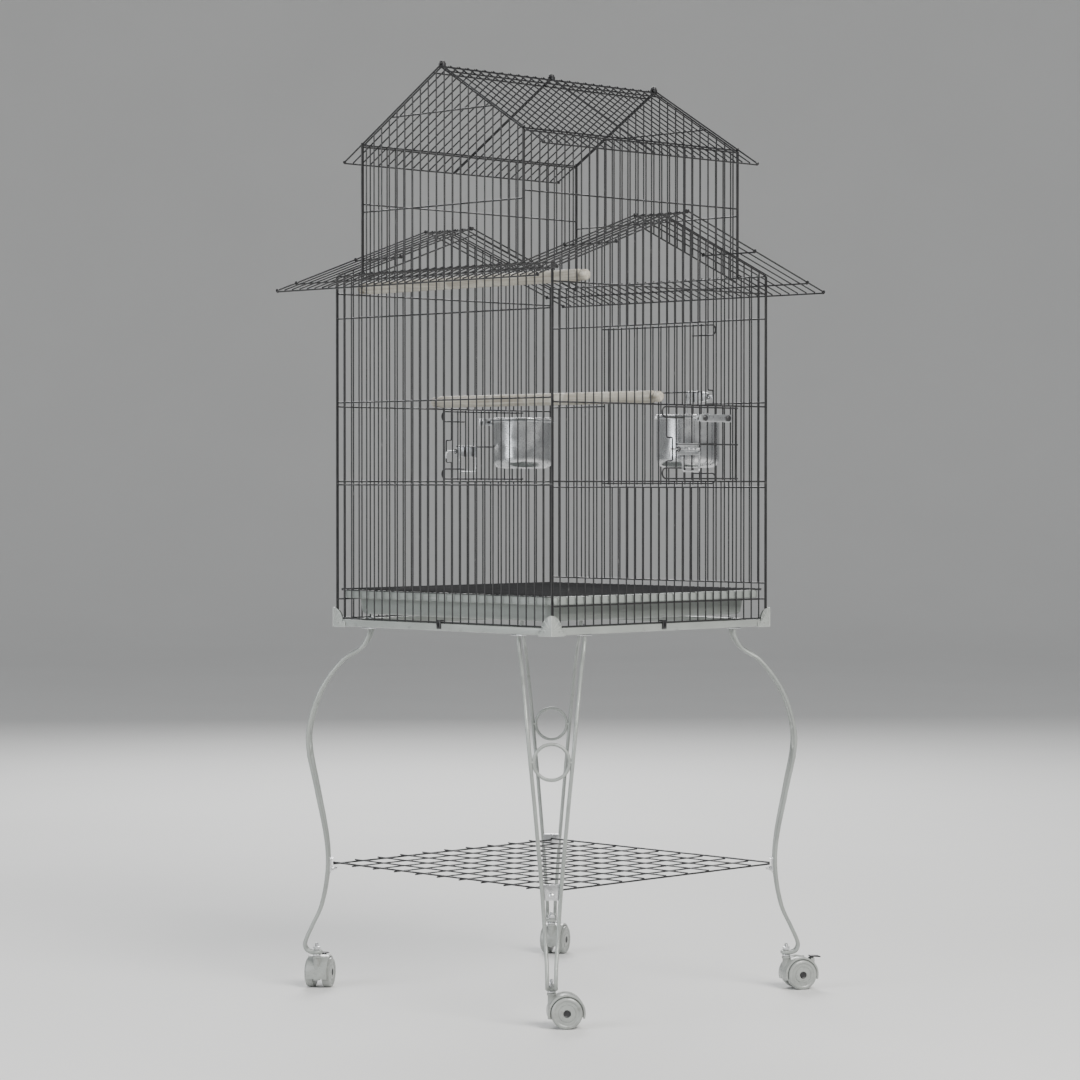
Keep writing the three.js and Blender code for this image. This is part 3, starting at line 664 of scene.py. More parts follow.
def side_wall(side):
    form = Form(WALL_PLACES[side])
    hinge, free = bar_at(FEEDER["hinge"]), bar_at(FEEDER["free"])
    for index in range(BAR_GAPS + 1):
        u = max(-SIDE_END, min(SIDE_END, bar_at(index)))
        top = under_roof(LOWER_ROOF, u)
        if hinge + 1 < u < free - 1:
            bar(form, u, WALL_BOTTOM, SIDE_RINGS[1])
            bar(form, u, SIDE_RINGS[2], top)
        else:
            keeper = FEEDER_KEEPER if abs(u - free) < 1 else None
            bar(form, u, WALL_BOTTOM, top, keeper)
    for height in SIDE_RINGS:
        depth = 0 if height == WALL_BOTTOM else INSET
        cross_wire(form, -SIDE_END, SIDE_END, height, depth)
    slope = [(u, under_roof(LOWER_ROOF, u), INSET) for u in (-SIDE_END, 0, SIDE_END)]
    form.tube(rounded(slope, 4), RING)
    tray_high = span("tray")[1]
    runner = tray_high.z - 12.5
    depth = HALF - tray_high.x + RING
    form.tube(rounded([(-SIDE_END, runner, 0), (-SIDE_END, runner, depth), (SIDE_END, runner, depth),
                       (SIDE_END, runner, 0)], 3), RING)
    form.tube([(bar_at(9), runner, 0), (bar_at(9), runner, depth)], RING)
    piece(f"{side}_wall", form, BLACK_WIRE, "cage", f"{side}_panel")


def upper_side_wall(side):
    sign = 1 if side == "left" else -1
    form = Form(axes((0, 1, 0), UP, (-sign, 0, 0), (sign * UPPER_HALF, 0, 0)))
    top = under_roof(TOP_ROOF, UPPER_HALF) - CAD_WIRE / 2
    for index in range(BAR_GAPS + 1):
        u = max(-SIDE_END, min(SIDE_END, bar_at(index)))
        bar(form, u, under_roof(LOWER_ROOF, u) - UPPER_FOOT, top)
    for height in (UPPER_SIDE_RING, top):
        cross_wire(form, -SIDE_END, SIDE_END, height)
    slope = [(u, under_roof(LOWER_ROOF, u) - UPPER_FOOT, INSET) for u in (-SIDE_END, 0, SIDE_END)]
    form.tube(rounded(slope, 4), RING)
    piece(f"upper_{side}_wall", form, BLACK_WIRE, "cage", f"upper_{side}_panel")


def build_walls():
    for side in ("front", "back"):
        end_wall(side)
    for side in ("left", "right"):
        side_wall(side)
        upper_side_wall(side)


# ---- roofs. In a slope's own frame x runs along the ridge, y down the slope, z up off it ----
def slope_place(roof, facing):
    """facing is the flat direction in which the slope falls."""
    angle = math.atan(roof["slope"])
    facing = Vector(facing)
    down = facing * math.cos(angle) - UP * math.sin(angle)
    along = UP.cross(facing)
    return axes(along, down, along.cross(down), (0, 0, roof["ridge"]))


def down_slope(roof, run):
    return run * math.sqrt(1 + roof["slope"] ** 2)


def hooked_wire(form, start, end, at):
    """A cross wire that ends in a small eye round the roof's edge wires."""
    cross_wire(form, start, end, at)
    for u in (start, end):
        form.ring((u, at, 0.5), (0, 1, 0), 2.3, 0.9, None, 10, 6)


def lower_slope(side):
    form = Form(slope_place(LOWER_ROOF, (0, 1 if side == "back" else -1, 0)))
    down = [down_slope(LOWER_ROOF, run) for run in (1.5, 138.8, 218.3, 250.7, LOWER_ROOF["run"])]
    inner, outer = LOWER_ROOF["inner"], LOWER_ROOF["reach"]
    for sign in (-1, 1):
        for k in range(7):
            u = sign * (inner + (outer - inner) * k / 6)
            form.tube([(u, down[0], 0), (u, down[4], 0)], RING if k in (0, 6) else BAR)
        for at in down[:2]:
            hooked_wire(form, sign * inner, sign * outer, at)
    for index in range(4, BAR_GAPS - 3):
        form.tube([(bar_at(index), down[2], 0), (bar_at(index), down[4], 0)], BAR)
    cross_wire(form, -inner, inner, down[2])
    for at in down[3:]:
        hooked_wire(form, -outer, outer, at)
    piece(f"lower_roof_{side}_wires", form, BLACK_WIRE, "cage", f"lower_roof_{side}")


def top_panel(side, end):
    form = Form(slope_place(TOP_ROOF, (1 if side == "left" else -1, 0, 0)))
    low, high = span(f"top_roof_{side}_{end}")
    ends = [low.y + CAD_WIRE / 2, high.y - CAD_WIRE / 2]
    if side == "right":
        ends = [-ends[1], -ends[0]]
    start, stop = ends
    down = [down_slope(TOP_ROOF, run) for run in (1.5, 14.5, UPPER_HALF, TOP_ROOF["run"])]
    for k in range(14):
        u = start + (stop - start) * k / 13
        form.tube([(u, down[0], 0), (u, down[3], 0)], RING if k in (0, 13) else BAR)
    for at in down:
        cross_wire(form, start, stop, at)
    edge = stop if abs(stop) > abs(start) else start
    for at in down[2:]:
        form.ring((edge, at, 0.5), (0, 1, 0), 2.0, 0.9, None, 10, 6)
    piece(f"top_roof_{side}_{end}_wires", form, BLACK_WIRE, "cage", f"top_roof_{side}_{end}")


def ridge_clip(name):
    """A two-jawed snap clip that holds the roof panels' ridge wires together."""
    low, high = span(f"ridge_clip_{name}")
    middle = (low + high) / 2
    form = Form()
    cap = [(0, low.z), (3.2, low.z + 0.2), (4.1, low.z + 1.4), (4.1, low.z + 2.4),
           (3.4, low.z + 3.6), (2.2, low.z + 4.4), (1.1, high.z - 0.2), (0, high.z - 0.1)]
    form.lathe(cap, 28, Matrix.Translation((0, middle.y, 0)))
    for sign in (-1, 1):
        form.block((sign * 3.6 - 1.3, middle.y - 2.6, low.z - 5.2),
                   (sign * 3.6 + 1.3, middle.y + 2.6, low.z + 1.2), 0.6)
    form.ring((0, middle.y, low.z + 1.9), UP, 4.0, 0.25, None, 28, 6)
    piece(f"ridge_snap_{name}", form, BLACK_NYLON, "cage", f"ridge_clip_{name}")


def build_roofs():
    for side in ("front", "back"):
        lower_slope(side)
    for side in ("left", "right"):
        for end in ("front", "back"):
            top_panel(side, end)
    for name in ("front", "middle", "back"):
        ridge_clip(name)


# ---- base frame, brackets and clips ----
def square_ring(half, corner, z, steps=6):
    """Points round a square with rounded corners."""
    corner = max(corner, 0.2)
    inner = half - corner
    points = []
    for turn, (sx, sy) in enumerate([(1, 1), (-1, 1), (-1, -1), (1, -1)]):
        for x, y in arc((sx * inner, sy * inner), corner, 90 * turn, 90 * turn + 90, steps):
            points.append((x, y, z))
    return points


def rod_spots():
    """Where each leg's two rods meet the rail, with the direction that the rail runs there."""
    r, w, _ = LEG_LINE[0]
    for _, diagonal, _, _ in CORNERS:
        for side in (-1, 1):
            point = turned_about_z(diagonal) @ Vector((r, side * w, 0))
            yield point, abs(point.y) > abs(point.x)


def base_rail():
    form = Form()
    outer, inner = RAIL_HIGH.x, RAIL_HIGH.x - 10
    section = rounded_loop([(inner, RAIL_LOW.z), (outer, RAIL_LOW.z), (outer, RAIL_HIGH.z),
                            (inner, RAIL_HIGH.z)], 1.4)
    form.loft([square_ring(half, half - inner + 0.6, z, 3) for half, z in section], closed=True)
    piece("base_rail", form, GREY_COAT, "cage", "base_frame")


def leg_fixings():
    """A flange under the rail and a nut on top of it for each leg rod."""
    fixings = Form()
    for point, along_x in rod_spots():
        length, width = (10, 4.9) if along_x else (4.9, 10)
        fixings.block((point.x - length, point.y - width, RAIL_LOW.z - 1.6),
                      (point.x + length, point.y + width, RAIL_LOW.z - 0.05), 0.5)
        inward = Vector((0, -1, 0)) if along_x else Vector((-1, 0, 0))
        inward *= math.copysign(2.3, point.y if along_x else point.x)
        top = Matrix.Translation(point + inward)
        fixings.plate(hexagon(3.3, 0.4), RAIL_HIGH.z + 0.05, RAIL_HIGH.z + 2.6, 0.4, top)
        fixings.lathe([(0, RAIL_HIGH.z + 2), (1.7, RAIL_HIGH.z + 2), (1.7, RAIL_HIGH.z + 3.4),
                       (1.1, RAIL_HIGH.z + 4), (0, RAIL_HIGH.z + 4)], 14, top)
    piece("leg_flanges_and_nuts", fixings, BRIGHT_ZINC, "cage")


def build_base():
    base_rail()
    leg_fixings()
    for name, diagonal, _, _ in CORNERS:
        corner_bracket(name, diagonal - 45)
    for side, degrees in (("back", 0), ("right", 90), ("left", -90)):
        rail_clip(side, degrees)


def corner_bracket(name, degrees):
    """Two fan-shaped ears over sleeves that wrap the rail, with ribs fanned from the corner."""
    form = Form()
    place = turned_about_z(degrees)
    inner, outer = RAIL_HIGH.x + 0.3, RAIL_HIGH.x + 1.9
    low, shoulder = RAIL_LOW.z - 1, RAIL_HIGH.z - 3
    outline = [(0.6, low), (26, low), (26, shoulder), (20, shoulder + 0.4)]
    outline += arc((0, shoulder), 20, 4, 88, 10)
    outline = [(outer - u, z) for u, z in outline]
    faces = (place @ axes((1, 0, 0), UP, (0, 1, 0)), place @ axes((0, 1, 0), UP, (1, 0, 0)))
    for face in faces:
        form.plate(outline, inner, outer - 0.3, 0.45, face)
        for angle in (20, 45, 70):
            reach = Vector((-math.cos(math.radians(angle)), math.sin(math.radians(angle)), 0))
            start = Vector((outer - 0.6, shoulder - 1, outer - 0.5))
            form.tube([start + reach * 6, start + reach * 19.5], 0.55, 6, place=face)
        for z in (low + 0.6, shoulder + 0.2):
            form.tube([(outer - 3, z, outer - 0.5), (outer - 25.4, z, outer - 0.5)], 0.45, 6,
                      place=face)
    form.tube([(inner + 0.6, inner + 0.6, low + 0.5), (inner + 0.6, inner + 0.6, shoulder + 19)],
              1.05, 12, place=place)
    for face in faces:
        screw(form, (outer - 14, RAIL_LOW.z + 5, outer - 0.4), face, 2.3)
    piece(f"fan_bracket_{name}", form, GREY_COAT, "cage", f"corner_bracket_{name}")


def screw(form, at, place, radius):
    """A pan head with a raised ring and a socket, standing out along z."""
    head = [(0, -0.4), (radius, -0.4), (radius, 0.25), (radius * 0.8, 0.45), (radius * 0.45, 0.45),
            (radius * 0.4, 0.05), (0, 0.05)]
    form.lathe(head, 18, place @ Matrix.Translation(Vector(at)))


def rail_clip(side, degrees):
    """A springy hook over the rail and the wall's bottom wire."""
    form = Form(turned_about_z(degrees))
    low, high = span("base_clip_back")
    half = 4
    form.block((-half, HALF - 3, high.z - 2), (half, high.y, high.z), 0.6)
    form.block((-half, high.y - 1.5, low.z), (half, high.y, high.z - 0.6), 0.5)
    form.block((-half, high.y - 3, low.z - 0.1), (half, high.y - 0.2, low.z + 1.4), 0.5)
    form.block((-1.2, high.y - 0.6, low.z + 2), (1.2, high.y, high.z - 3), 0.3)
    piece(f"rail_hook_{side}", form, BLACK_NYLON, "cage", f"base_clip_{side}")


# ---- tray and floor grate ----
def build_tray():
    low, high = span("tray")
    half, top, bottom = high.x, high.z, low.z
    form = Form()
    body = half - 18
    section = [
        (body - 8, 12, bottom), (body - 3, 13, bottom + 1), (body - 0.6, 14, bottom + 4),
        (body + 0.6, 15, bottom + 12), (body + 1.6, 15.5, bottom + 20), (body + 2.6, 16, bottom + 26),
        (body + 5, 17, top - 4.4), (body + 9, 18, top - 3), (half - 3.6, 19, top - 2.8),
        (half - 2.5, 19.2, top - 4.2), (half - 2.4, 19.3, top - 10.4), (half - 1.4, 19.6, top - 11),
        (half - 0.3, 20, top - 10.4), (half, 20, top - 9), (half, 20, top - 3),
        (half - 0.7, 20, top - 1), (half - 2.6, 19.5, top), (body + 8, 18, top),
        (body + 3, 16.5, top - 1.4), (body + 0.6, 15, top - 5), (body - 1, 14, bottom + 16),
        (body - 2.6, 13, bottom + 6), (body - 6, 11, bottom + 2.8), (body - 12, 9, bottom + 2.3),
    ]
    form.loft([square_ring(h, corner, z, 8) for h, corner, z in section])
    piece("moulded_tray", form, MOULDED_GREY, "tray", "tray", crease=60)


def build_grate():
    """Close-set wires on seven cross wires. The two layers bite a little, as welded wires do."""
    high = span("floor_grate")[1]
    half = high.x - CAD_WIRE / 2
    wire, cross, gaps, cross_gaps = 0.9, 0.75, 36, 6
    z = high.z - BAR
    cross_z = z - wire - cross * 0.8
    form = Form()
    for i in range(gaps + 1):
        at = -half + 2 * half * i / gaps
        form.tube([(at, -half, z), (at, half, z)], wire, 6)
    for i in range(cross_gaps + 1):
        at = -half + 2 * half * i / cross_gaps
        form.tube([(-half, at, cross_z), (half, at, cross_z)], cross, 6)
    piece("grate_wires", form, BLACK_WIRE, "floor_grate", "floor_grate")


# ---- doors. In a door's own frame x runs from its hinge, y is height, and z is outward ----
def door_place(side, spec):
    if side == "front":
        towards, out = Vector((-1, 0, 0)), Vector((0, -1, 0))
        hinge = -bar_at(spec["hinge"]) * Vector((1, 0, 0))
    else:
        towards, out = Vector((0, 1, 0)), Vector((1 if side == "left" else -1, 0, 0))
        hinge = bar_at(spec["hinge"]) * Vector((0, 1, 0))
    return axes(towards, UP, out, hinge + out * (HALF + DOOR_OUT))


def hinge_curl(v, line):
    """The end of a door wire, dipping in and curling round the hinge bar."""
    circle = arc((0, -DOOR_OUT), HINGE_CURL, -150, 90, 12)
    return [(x, v, w) for x, w in circle] + [(3.5, v, 0.2), (7, v, line)]


def door_wires(spec, place):
    form = Form(place)
    width = (spec["free"] - spec["hinge"]) * PITCH
    tip = width + spec["past"]
    line = BAR + 1.05
    turn = HAIRPIN_DROP / 2
    for v, sign in ((spec["top"], -1), (spec["bottom"], 1)):
        bend = arc((tip - turn, v + sign * turn), turn, -90 * sign, 90 * sign, 10)
        path = hinge_curl(v, line) + [(x, y, line) for x, y in bend]
        path.append((tip - HAIRPIN_BACK, v + sign * HAIRPIN_DROP, line))
        form.tube(path, 1.1, 10)
    middle = hinge_curl(spec["middle"], line) + [(width - PITCH, spec["middle"], line)]
    form.tube(middle, 1.1, 10)
    uprights = [5.5] + [k * PITCH for k in range(1, spec["free"] - spec["hinge"])]
    for u in uprights:
        form.tube([(u, spec["bottom"] - 1.5, 0), (u, spec["top"] + 1.5, 0)], BAR)
    return form


def latch_housing(spec, place, centre):
    """A folded channel with an eyelet at each end for the bolt."""
    form = Form(place)
    z = spec["latch_z"]
    height, lip, thick, base = 8, 7.2, 1.0, 1.2
    outline = [(-height, lip), (-height, base), (height, base), (height, lip),
               (height - thick, lip), (height - thick, base + thick), (-height + thick, base + thick),
               (-height + thick, lip)]
    slices = []
    for s in (-LATCH_HALF + 0.6, -8, 4, 10, 15, LATCH_HALF - 0.6):
        narrow = 1 - spec["taper"] * max(0, (s - 6) / (LATCH_HALF - 6))
        slices.append([(centre + s, z + v * narrow, w) for v, w in
                       rounded_loop(outline, 0.35, 2)])
    form.loft(slices)
    for s in (-LATCH_HALF, LATCH_HALF - 1.5):
        eye = axes((0, 1, 0), (0, 0, 1), (1, 0, 0), (centre + s, z, BOLT_LINE))
        form.lathe([(1.75, 0), (2.9, 0), (3.1, 0.3), (3.1, 1.2), (2.9, 1.5), (1.75, 1.5), (1.75, 0)],
                   20, place @ eye)
        form.block((centre + s, z - 4, base), (centre + s + 1.5, z + 4, base + 1.6), 0.3)
    return form


def latch_eyelets(spec, place, centre):
    """Dark grommets that line the housing's two eyelets."""
    form = Form(place)
    for s in (-LATCH_HALF - 0.15, LATCH_HALF + 0.15):
        form.ring((centre + s, spec["latch_z"], BOLT_LINE), (1, 0, 0), 2.9, 0.75, None, 20)
    return form


def latch_bolt(spec, place, centre):
    """One bent wire: the hook behind the keeper, the shaft, and the finger loop."""
    form = Form(place)
    z = spec["latch_z"]
    tip, rear = centre + spec["reach"] - 1.4, centre - LATCH_HALF - 1.7
    loop_end, loop_bottom = rear + FINGER_LOOP["width"], z - FINGER_LOOP["drop"]
    bend = [(tip, z - spec["tip_drop"] + 0.5), (tip, z), (rear, z), (rear, loop_bottom),
            (loop_end, loop_bottom), (loop_end, z - FINGER_LOOP["gap"])]
    form.tube(rounded([(x, y, BOLT_LINE) for x, y in bend], 3.2, 7), 1.3, 12)
    collar = axes((0, 1, 0), (0, 0, 1), (1, 0, 0), (centre + 6, z, BOLT_LINE))
    form.lathe([(1.2, 0), (2.7, 0), (2.9, 0.3), (2.9, 1.2), (2.6, 1.5), (1.2, 1.5), (1.2, 0)], 18,
               place @ collar)
    return form


def latch_spring(spec, place, centre):
    """A coil between the rear eyelet and the bolt's collar, with its length and its seat."""
    form = Form(place)
    start, end, turns, steps = -LATCH_HALF + 2, 5.6, 9, 14
    path = []
    for i in range(turns * steps + 1):
        angle = TAU * i / steps
        s = centre + start + (end - start) * i / (turns * steps)
        path.append((s, spec["latch_z"] + 2.2 * math.cos(angle), BOLT_LINE + 2.2 * math.sin(angle)))
    form.tube(path, 0.38, 6)
    return form, end - start, centre + start


def build_door(node, side, spec):
    place = door_place(side, spec)
    centre = (spec["free"] - spec["hinge"]) * PITCH - spec["latch_in"]
    piece(f"{node}_wires", door_wires(spec, place), BLACK_WIRE, node, node)
    piece(f"{node}_latch_housing", latch_housing(spec, place, centre), BRIGHT_ZINC, node)
    piece(f"{node}_latch_eyelets", latch_eyelets(spec, place, centre), BLACK_NYLON, node)
    bolt = latch_bolt(spec, place, centre)
    piece(f"{node}_latch_bolt", bolt, BRIGHT_ZINC, f"{node}_latch", f"{node}_latch")
    form, length, seat = latch_spring(spec, place, centre)
    spring = piece(f"{node}_latch_spring", form, BRIGHT_ZINC, node)
    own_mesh(spring)


def build_doors():
    build_door("main_door", "front", MAIN_DOOR)
    build_door("feeder_door_left", "left", FEEDER)
    build_door("feeder_door_right", "right", FEEDER)


# ---- cups and their clamp holders ----
def build_cup(side):
    low, high = span(f"cup_{side}")
    middle, bottom, top = (low + high) / 2, low.z, high.z
    rim, wall = (high.x - low.x) / 2, 44
    form = Form()
    bead = 1.25
    profile = [
        (0, 1.3), (23, 1.3), (26, 0.5), (29, 0), (33, 0), (37.5, 1.3), (40.8, 3.8), (43, 7.6),
        (wall - 0.2, 12), (wall, 17), (wall, top - bottom - 5), (wall + 0.3, top - bottom - 3.4),
    ]
    centre = (rim - bead, top - bottom - bead)
    profile += arc(centre, bead, -75, 180, 10)
    profile += [(wall - 1.1, top - bottom - 4), (wall - 1.1, 17), (wall - 1.3, 12.4),
                (42, 8.4), (40, 5), (37, 2.7), (33, 1.6), (29, 1.5), (25, 2.3), (0, 2.4)]
    form.lathe(profile, 64, Matrix.Translation((middle.x, middle.y, bottom)))
    piece(f"feed_cup_{side}", form, SPUN_STEEL, f"cup_{side}", f"cup_{side}", crease=50)


def build_holder(side):
    """A hoop under the rim, two clamp plates over the door's bars, and two thumb screws."""
    sign = 1 if side == "left" else -1
    cup_low, cup_high = span(f"cup_{side}")
    middle = (cup_low + cup_high) / 2
    low, high = span(f"cup_holder_{side}")
    z = (low.z + high.z) / 2
    form = Form()
    hoop = [(middle.x + x, middle.y + y, z) for x, y in around(HOOP, 56)]
    form.tube(hoop, 1.1, 10, True)
    out = axes((0, 1, 0), UP, (sign, 0, 0), (0, middle.y, 0))
    door_out = HALF + DOOR_OUT + 1.2
    near, far, half = CLAMP["near"], CLAMP["far"], CLAMP["half"]
    plate = rounded_loop([(near, z - half), (far, z - half), (far, z + half), (near, z + half)], 2.2, 4)
    form.plate(plate, HALF - 3.2, HALF - 1.9, 0.3, out)
    form.plate(plate, door_out + 0.9, door_out + 2.2, 0.3, out)
    for u in (near - 0.3, far + 0.3):
        form.block((u - 0.8, z - 4.6, door_out - 0.6), (u + 0.8, z + 4.6, door_out + 2.1), 0.35, out)
    piece(f"clamp_{side}", form, BRIGHT_ZINC, f"feeder_door_{side}", f"cup_holder_{side}")

    screws = Form()
    for u in (bar_at(5.5) - middle.y, bar_at(8.5) - middle.y):
        shaft = axes((0, 1, 0), UP, (sign, 0, 0), (0, middle.y + u, z))
        head = door_out + 2.2
        screws.lathe([(0, HALF - 5.6), (1.9, HALF - 5.6), (1.9, head), (3.9, head), (4.1, head + 0.4),
                      (4, head + 1.5), (3.2, head + 2), (1.4, head + 1.8), (0, head + 1.8)], 22, shaft)
        for rib in around(4, 12):
            screws.tube([(*rib, head + 0.25), (*rib, head + 1.4)], 0.28, 6, place=shaft)
    piece(f"clamp_screws_{side}", screws, BLACK_NYLON, f"feeder_door_{side}")


def build_cups():
    for side in ("left", "right"):
        build_cup(side)
        build_holder(side)


# ---- perches ----
def build_perch(name):
    low, high = span(name)
    middle = (low + high) / 2
    reach, radius = high.x, 8.5
    form = Form()
    face, out = HALF - 2.6, HALF + 3
    half = [
        (radius - 0.9, face), (6.2, face + 0.2), (5.8, face + 0.9), (5.8, out), (6.6, out),
        (7.4, out + 0.7), (7.5, reach - 7.4), (6.9, reach - 7.0), (6.9, reach - 6.4),
        (7.5, reach - 6.0), (7.3, reach - 3.4), (6.2, reach - 1.5), (4.2, reach - 0.4), (0, reach),
    ]
    body = [(radius - 0.15, face - 0.9), (radius, face - 2.4)]
    length = [(radius + 0.06 * math.sin(3 * x), x) for x in range(-200, 201, 25)]
    profile = [(r, -x) for r, x in reversed(half)] + [(r, -x) for r, x in body] + length
    profile += [(r, x) for r, x in reversed(body)] + half
    form.lathe(profile, 40, axes((0, 0, 1), (0, 1, 0), (1, 0, 0), (0, middle.y, middle.z)))
    piece(f"{name}_dowel", form, DOWEL_WOOD, "cage", name, crease=50)


# ---- legs and shelf ----
def smooth_line(knots, steps):
    """A curve through the knots, with its tangents taken from their neighbours."""
    knots = [Vector(k) for k in knots]
    line = []
    for i in range(len(knots) - 1):
        before = knots[max(i - 1, 0)]
        start, end = knots[i], knots[i + 1]
        after = knots[min(i + 2, len(knots) - 1)]
        gap = (end - start).length
        first = (end - before).normalized() * gap
        last = (after - start).normalized() * gap
        for k in range(steps):
            t = k / steps
            line.append((2 * t ** 3 - 3 * t ** 2 + 1) * start + (t ** 3 - 2 * t ** 2 + t) * first
                        + (3 * t ** 2 - 2 * t ** 3) * end + (t ** 3 - t ** 2) * last)
    line.append(knots[-1])
    return line


def build_leg(name, diagonal):
    place = turned_about_z(diagonal)
    form = Form(place)
    out, z, radius = LEG_RING["out"], LEG_RING["z"], LEG_RING["radius"]
    for side in (-1, 1):
        rod = smooth_line([(r, side * w, height) for r, w, height in LEG_LINE], 5)
        form.tube(rod, LEG_ROD, 14)
    form.ring((STEM_R, 0, FOOT_EYE_Z), (0, 0, 1), 5.75, LEG_ROD - 0.05, None, 24, 12)
    form.ring((out, 0, z), (1, 0, 0), radius, 2.3, None, 48, 12)
    for side in (-1, 1):
        form.lathe([(0, -1.6), (2.2, -1.3), (3, -0.4), (3, 0.4), (2.2, 1.3), (0, 1.6)], 12,
                   place @ Matrix.Translation((out, side * (radius + 2), z)))
    piece(f"leg_rods_{name}", form, GREY_COAT, "cage", f"leg_{name}")


def build_shelf_bracket(name, diagonal):
    """A tapered plate with a turned-in top edge, and its screw and nut."""
    low, high = span("shelf_bracket_back_left")
    face = turned_about_z(diagonal) @ axes((0, 1, 0), UP, (1, 0, 0))
    form = Form(face)
    corners = [(-10.5, low.z + 1), (10.5, low.z + 1), (12.6, high.z), (-12.6, high.z)]
    face_in, face_out = BRACKET_OUT, BRACKET_OUT + 1.8
    form.plate(rounded_loop(corners, 1.6, 4), face_in, face_out, 0.4)
    form.block((-11.5, high.z - 1.4, face_in - 3.8), (11.5, high.z - 0.1, face_out - 0.6), 0.4)
    z = (low.z + high.z) / 2 - 4
    form.plate(hexagon(3.6, 0.5, z), face_in - 3.8, face_in - 0.8, 0.4)
    form.lathe([(0, 304), (1.6, 304), (2, 304.5), (2, 315.4), (3.8, 315.4), (3.7, 316.6),
                (2.4, 317.6), (0, 317.8)], 20, face @ Matrix.Translation((0, z, 0)))
    piece(f"shelf_plate_{name}", form, BRIGHT_ZINC, "cage", f"shelf_bracket_{name}")


def build_shelf():
    form = Form()
    low, high = span("shelf")
    half = high.x - CAD_WIRE / 2
    middle = (low.z + high.z) / 2
    cells = 10
    for i in range(cells + 1):
        at = -half + 2 * half * i / cells
        edge = i in (0, cells)
        wire = 1.3 if edge else 1.05
        for start, end, lift in (((-half, at), (half, at), 1.1), ((at, -half), (at, half), -1.1)):
            a, b = Vector((*start, middle + lift)), Vector((*end, middle + lift))
            stub = (b - a).normalized() * (0 if edge else 3.4)
            form.tube([a - stub, b + stub], wire, 8)
    piece("shelf_wires", form, BLACK_WIRE, "cage", "shelf")


# ---- casters, in the wheel's own frame: x along the trail, y the axle, z up from the axle ----
def hood(place, with_brake):
    """A curved fender over a web between the wheels, with the stem's socket behind."""
    form = Form(place)
    section = rounded_loop([(21.9, -15), (25, -15), (25, 15), (21.9, 15), (21.9, 13.8), (23.5, 13.8),
                            (23.5, -13.8), (21.9, -13.8)], 0.7, 3)
    steps = 30
    rows = []
    for i in range(steps + 1):
        angle = math.radians(-17 + 214 * i / steps)
        rows.append([(r * math.cos(angle), y, r * math.sin(angle)) for r, y in section])
    form.loft(rows)
    web = arc((0, 0), 24, -17, 197, 30) + arc((0, 0), 5.5, 205, 335, 6)
    form.plate(web, -5.2, 5.2, 0.8, place @ axes((1, 0, 0), UP, (0, -1, 0)))
    top = WASHER_Z - 0.3 - WHEEL
    form.lathe([(3.2, -9), (5, -9), (5.2, -8.4), (5.2, top - 4), (6.2, top - 3), (6.2, top - 0.8),
                (5.6, top), (3.2, top), (3.2, -9)], 28, place @ Matrix.Translation((-TRAIL, 0, 0)))
    form.tube([(-TRAIL + 6, 0, 18.6), (-5, 0, 24.6), (8, 0, 24.2)], 1.3)
    if with_brake:
        for y in (-5.6, 5.6):
            form.block((16.5, y - 0.9, 14), (22, y + 0.9, 22), 0.5)
    return form


def wheels(place):
    """Two tyres on one hub, with short spokes round each face."""
    form = Form(place)
    axle = place @ axes((1, 0, 0), (0, 0, 1), (0, -1, 0))
    inside, outside = 6.3, 18.5
    half = [
        (3, inside), (WHEEL - 1.6, inside), (WHEEL - 0.4, inside + 0.5), (WHEEL, inside + 1.8),
        (WHEEL, outside - 3.2), (WHEEL - 0.5, outside - 1.3), (WHEEL - 1.9, outside - 0.2),
        (WHEEL - 3.4, outside), (WHEEL - 4.6, outside - 0.5), (WHEEL - 5.4, outside - 1.1),
        (12.2, outside - 0.8), (11.8, outside - 1.3), (11.2, outside - 1.3), (10.8, outside - 0.7),
        (6.2, outside - 0.2), (5.2, outside - 0.3), (4.9, outside - 1.8), (0, outside - 1.8),
    ]
    profile = [(r, -y) for r, y in reversed(half)] + half
    form.lathe(profile, 56, axle)
    for k in range(9):
        angle = TAU * k / 9
        for y in (-outside + 0.95, outside - 0.95):
            path = [(r * math.cos(angle), y, r * math.sin(angle)) for r in (6.8, 10.2)]
            form.tube(path, 0.5, 6)
    return form


def hub_plugs(place):
    """A dark dished plug over each end of the axle."""
    form = Form()
    for sign in (-1, 1):
        axle = place @ axes((1, 0, 0), (0, 0, sign), (0, -sign, 0))
        form.lathe([(0, 16.75), (4.6, 16.75), (4.6, 17.9), (4.2, 18.2), (3.2, 17.7), (1.6, 17.5),
                    (0, 17.5)], 28, axle)
    return form


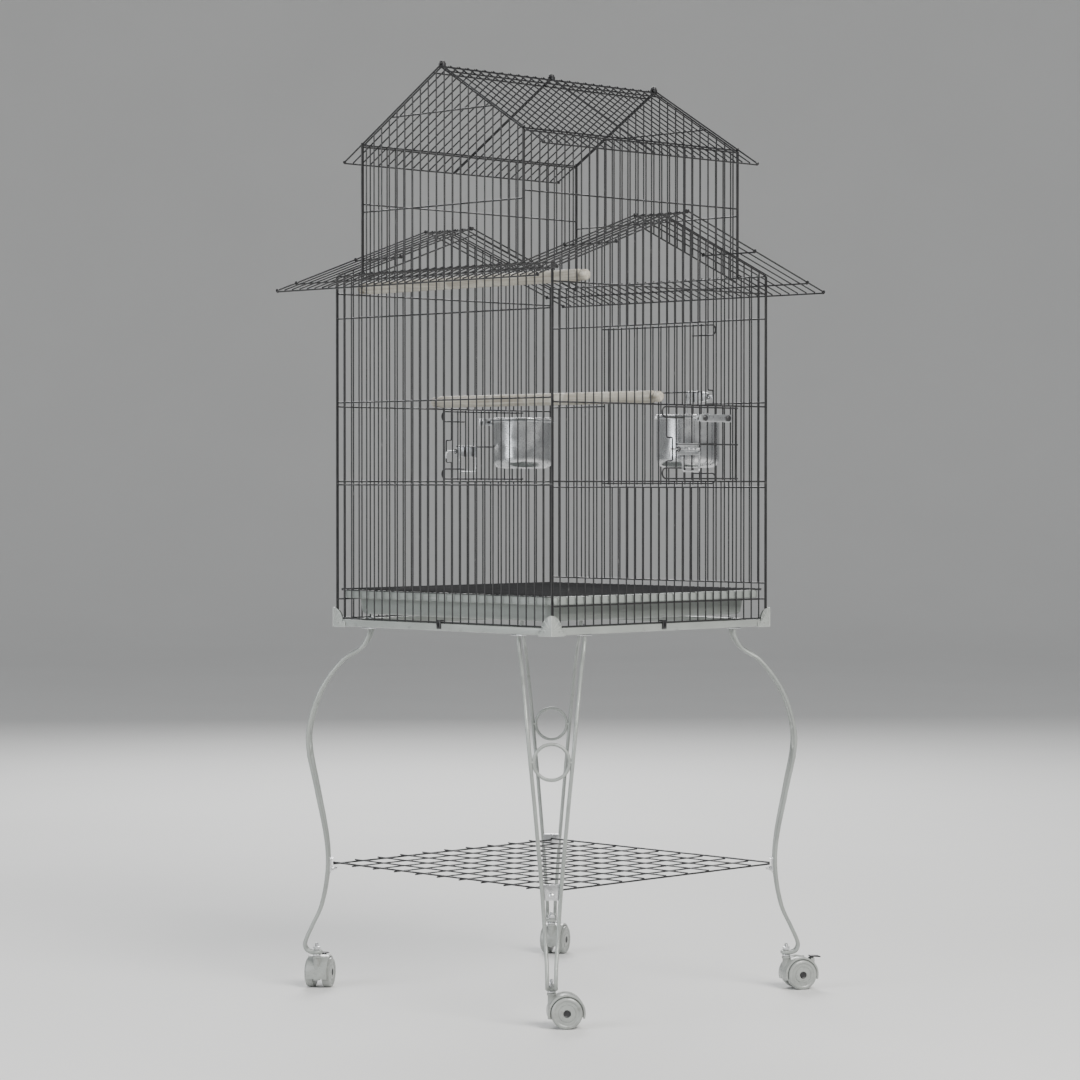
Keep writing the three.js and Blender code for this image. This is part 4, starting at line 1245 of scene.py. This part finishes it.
def brake(place):
    """A ribbed pedal that slopes down to its tip, on a short foot."""
    form = Form(place)
    length, width = PEDAL["half_length"], PEDAL["half_width"]
    lift = Matrix.Translation((PEDAL["out"], 0, PEDAL["height"]))
    tilt = place @ lift @ Matrix.Rotation(math.radians(PEDAL["tilt"]), 4, "Y")
    form.block((-length, -width, -0.9), (length, width, 0.8), 0.7, tilt)
    form.block((17.5, -4.2, 18.7), (21.5, 4.2, 23.8), 0.5)
    for x in (-0.6, 1.6, 3.8, 6):
        form.tube([(x, 1.2 - width, 0.7), (x, width - 1.2, 0.7)], 0.45, 6, place=tilt)
    return form


def build_stem(name, diagonal):
    """A threaded stem, with its washer under the leg's foot eye and its nut on top."""
    low, high = span(f"caster_stem_{name}")
    form = Form(Matrix.Translation(stem_spot(diagonal)))
    washer = [(2.6, WASHER_Z), (5.6, WASHER_Z), (5.8, WASHER_Z + 0.3), (5.8, WASHER_Z + 2),
              (5.6, WASHER_Z + 2.3), (2.6, WASHER_Z + 2.3)]
    threads = [(2.6, 55.8)]
    z = 56.2
    while z < high.z - 1.4:
        threads += [(2.55, z), (2.15, z + 0.5)]
        z += 1.0
    form.lathe([(0, low.z), (2.2, low.z), (2.6, low.z + 0.5)] + washer + threads
               + [(2.2, high.z - 0.6), (1.6, high.z), (0, high.z)], 24)
    form.plate(hexagon(5.4, 0.5), 55.7, 60, 0.5)
    piece(f"stem_and_nut_{name}", form, BRIGHT_ZINC, "cage", f"caster_stem_{name}")


def build_caster(name, diagonal, trail, with_brake):
    direction = turned_about_z(trail) @ Vector((TRAIL, 0, 0))
    place = turned_about_z(trail, stem_spot(diagonal) + direction + Vector((0, 0, WHEEL)))
    piece(f"hood_{name}", hood(place, with_brake), CASTER_NYLON, f"caster_{name}",
          f"caster_hood_{name}")
    piece(f"twin_wheels_{name}", wheels(place), CASTER_NYLON, f"wheels_{name}",
          f"caster_wheels_{name}")
    piece(f"hub_plugs_{name}", hub_plugs(place), BLACK_NYLON, f"wheels_{name}")
    if with_brake:
        piece(f"brake_pedal_{name}", brake(place), BLACK_NYLON, f"brake_{name}",
              f"brake_lever_{name}")


def build_stand():
    build_shelf()
    for name, diagonal, trail, with_brake in CORNERS:
        build_leg(name, diagonal)
        build_shelf_bracket(name, diagonal)
        build_stem(name, diagonal)
        build_caster(name, diagonal, trail, with_brake)


build_camera()
build_stage()
build_lights()
build_walls()
build_roofs()
build_base()
build_tray()
build_grate()
build_doors()
build_cups()
build_perch("perch_lower")
build_perch("perch_upper")
build_stand()
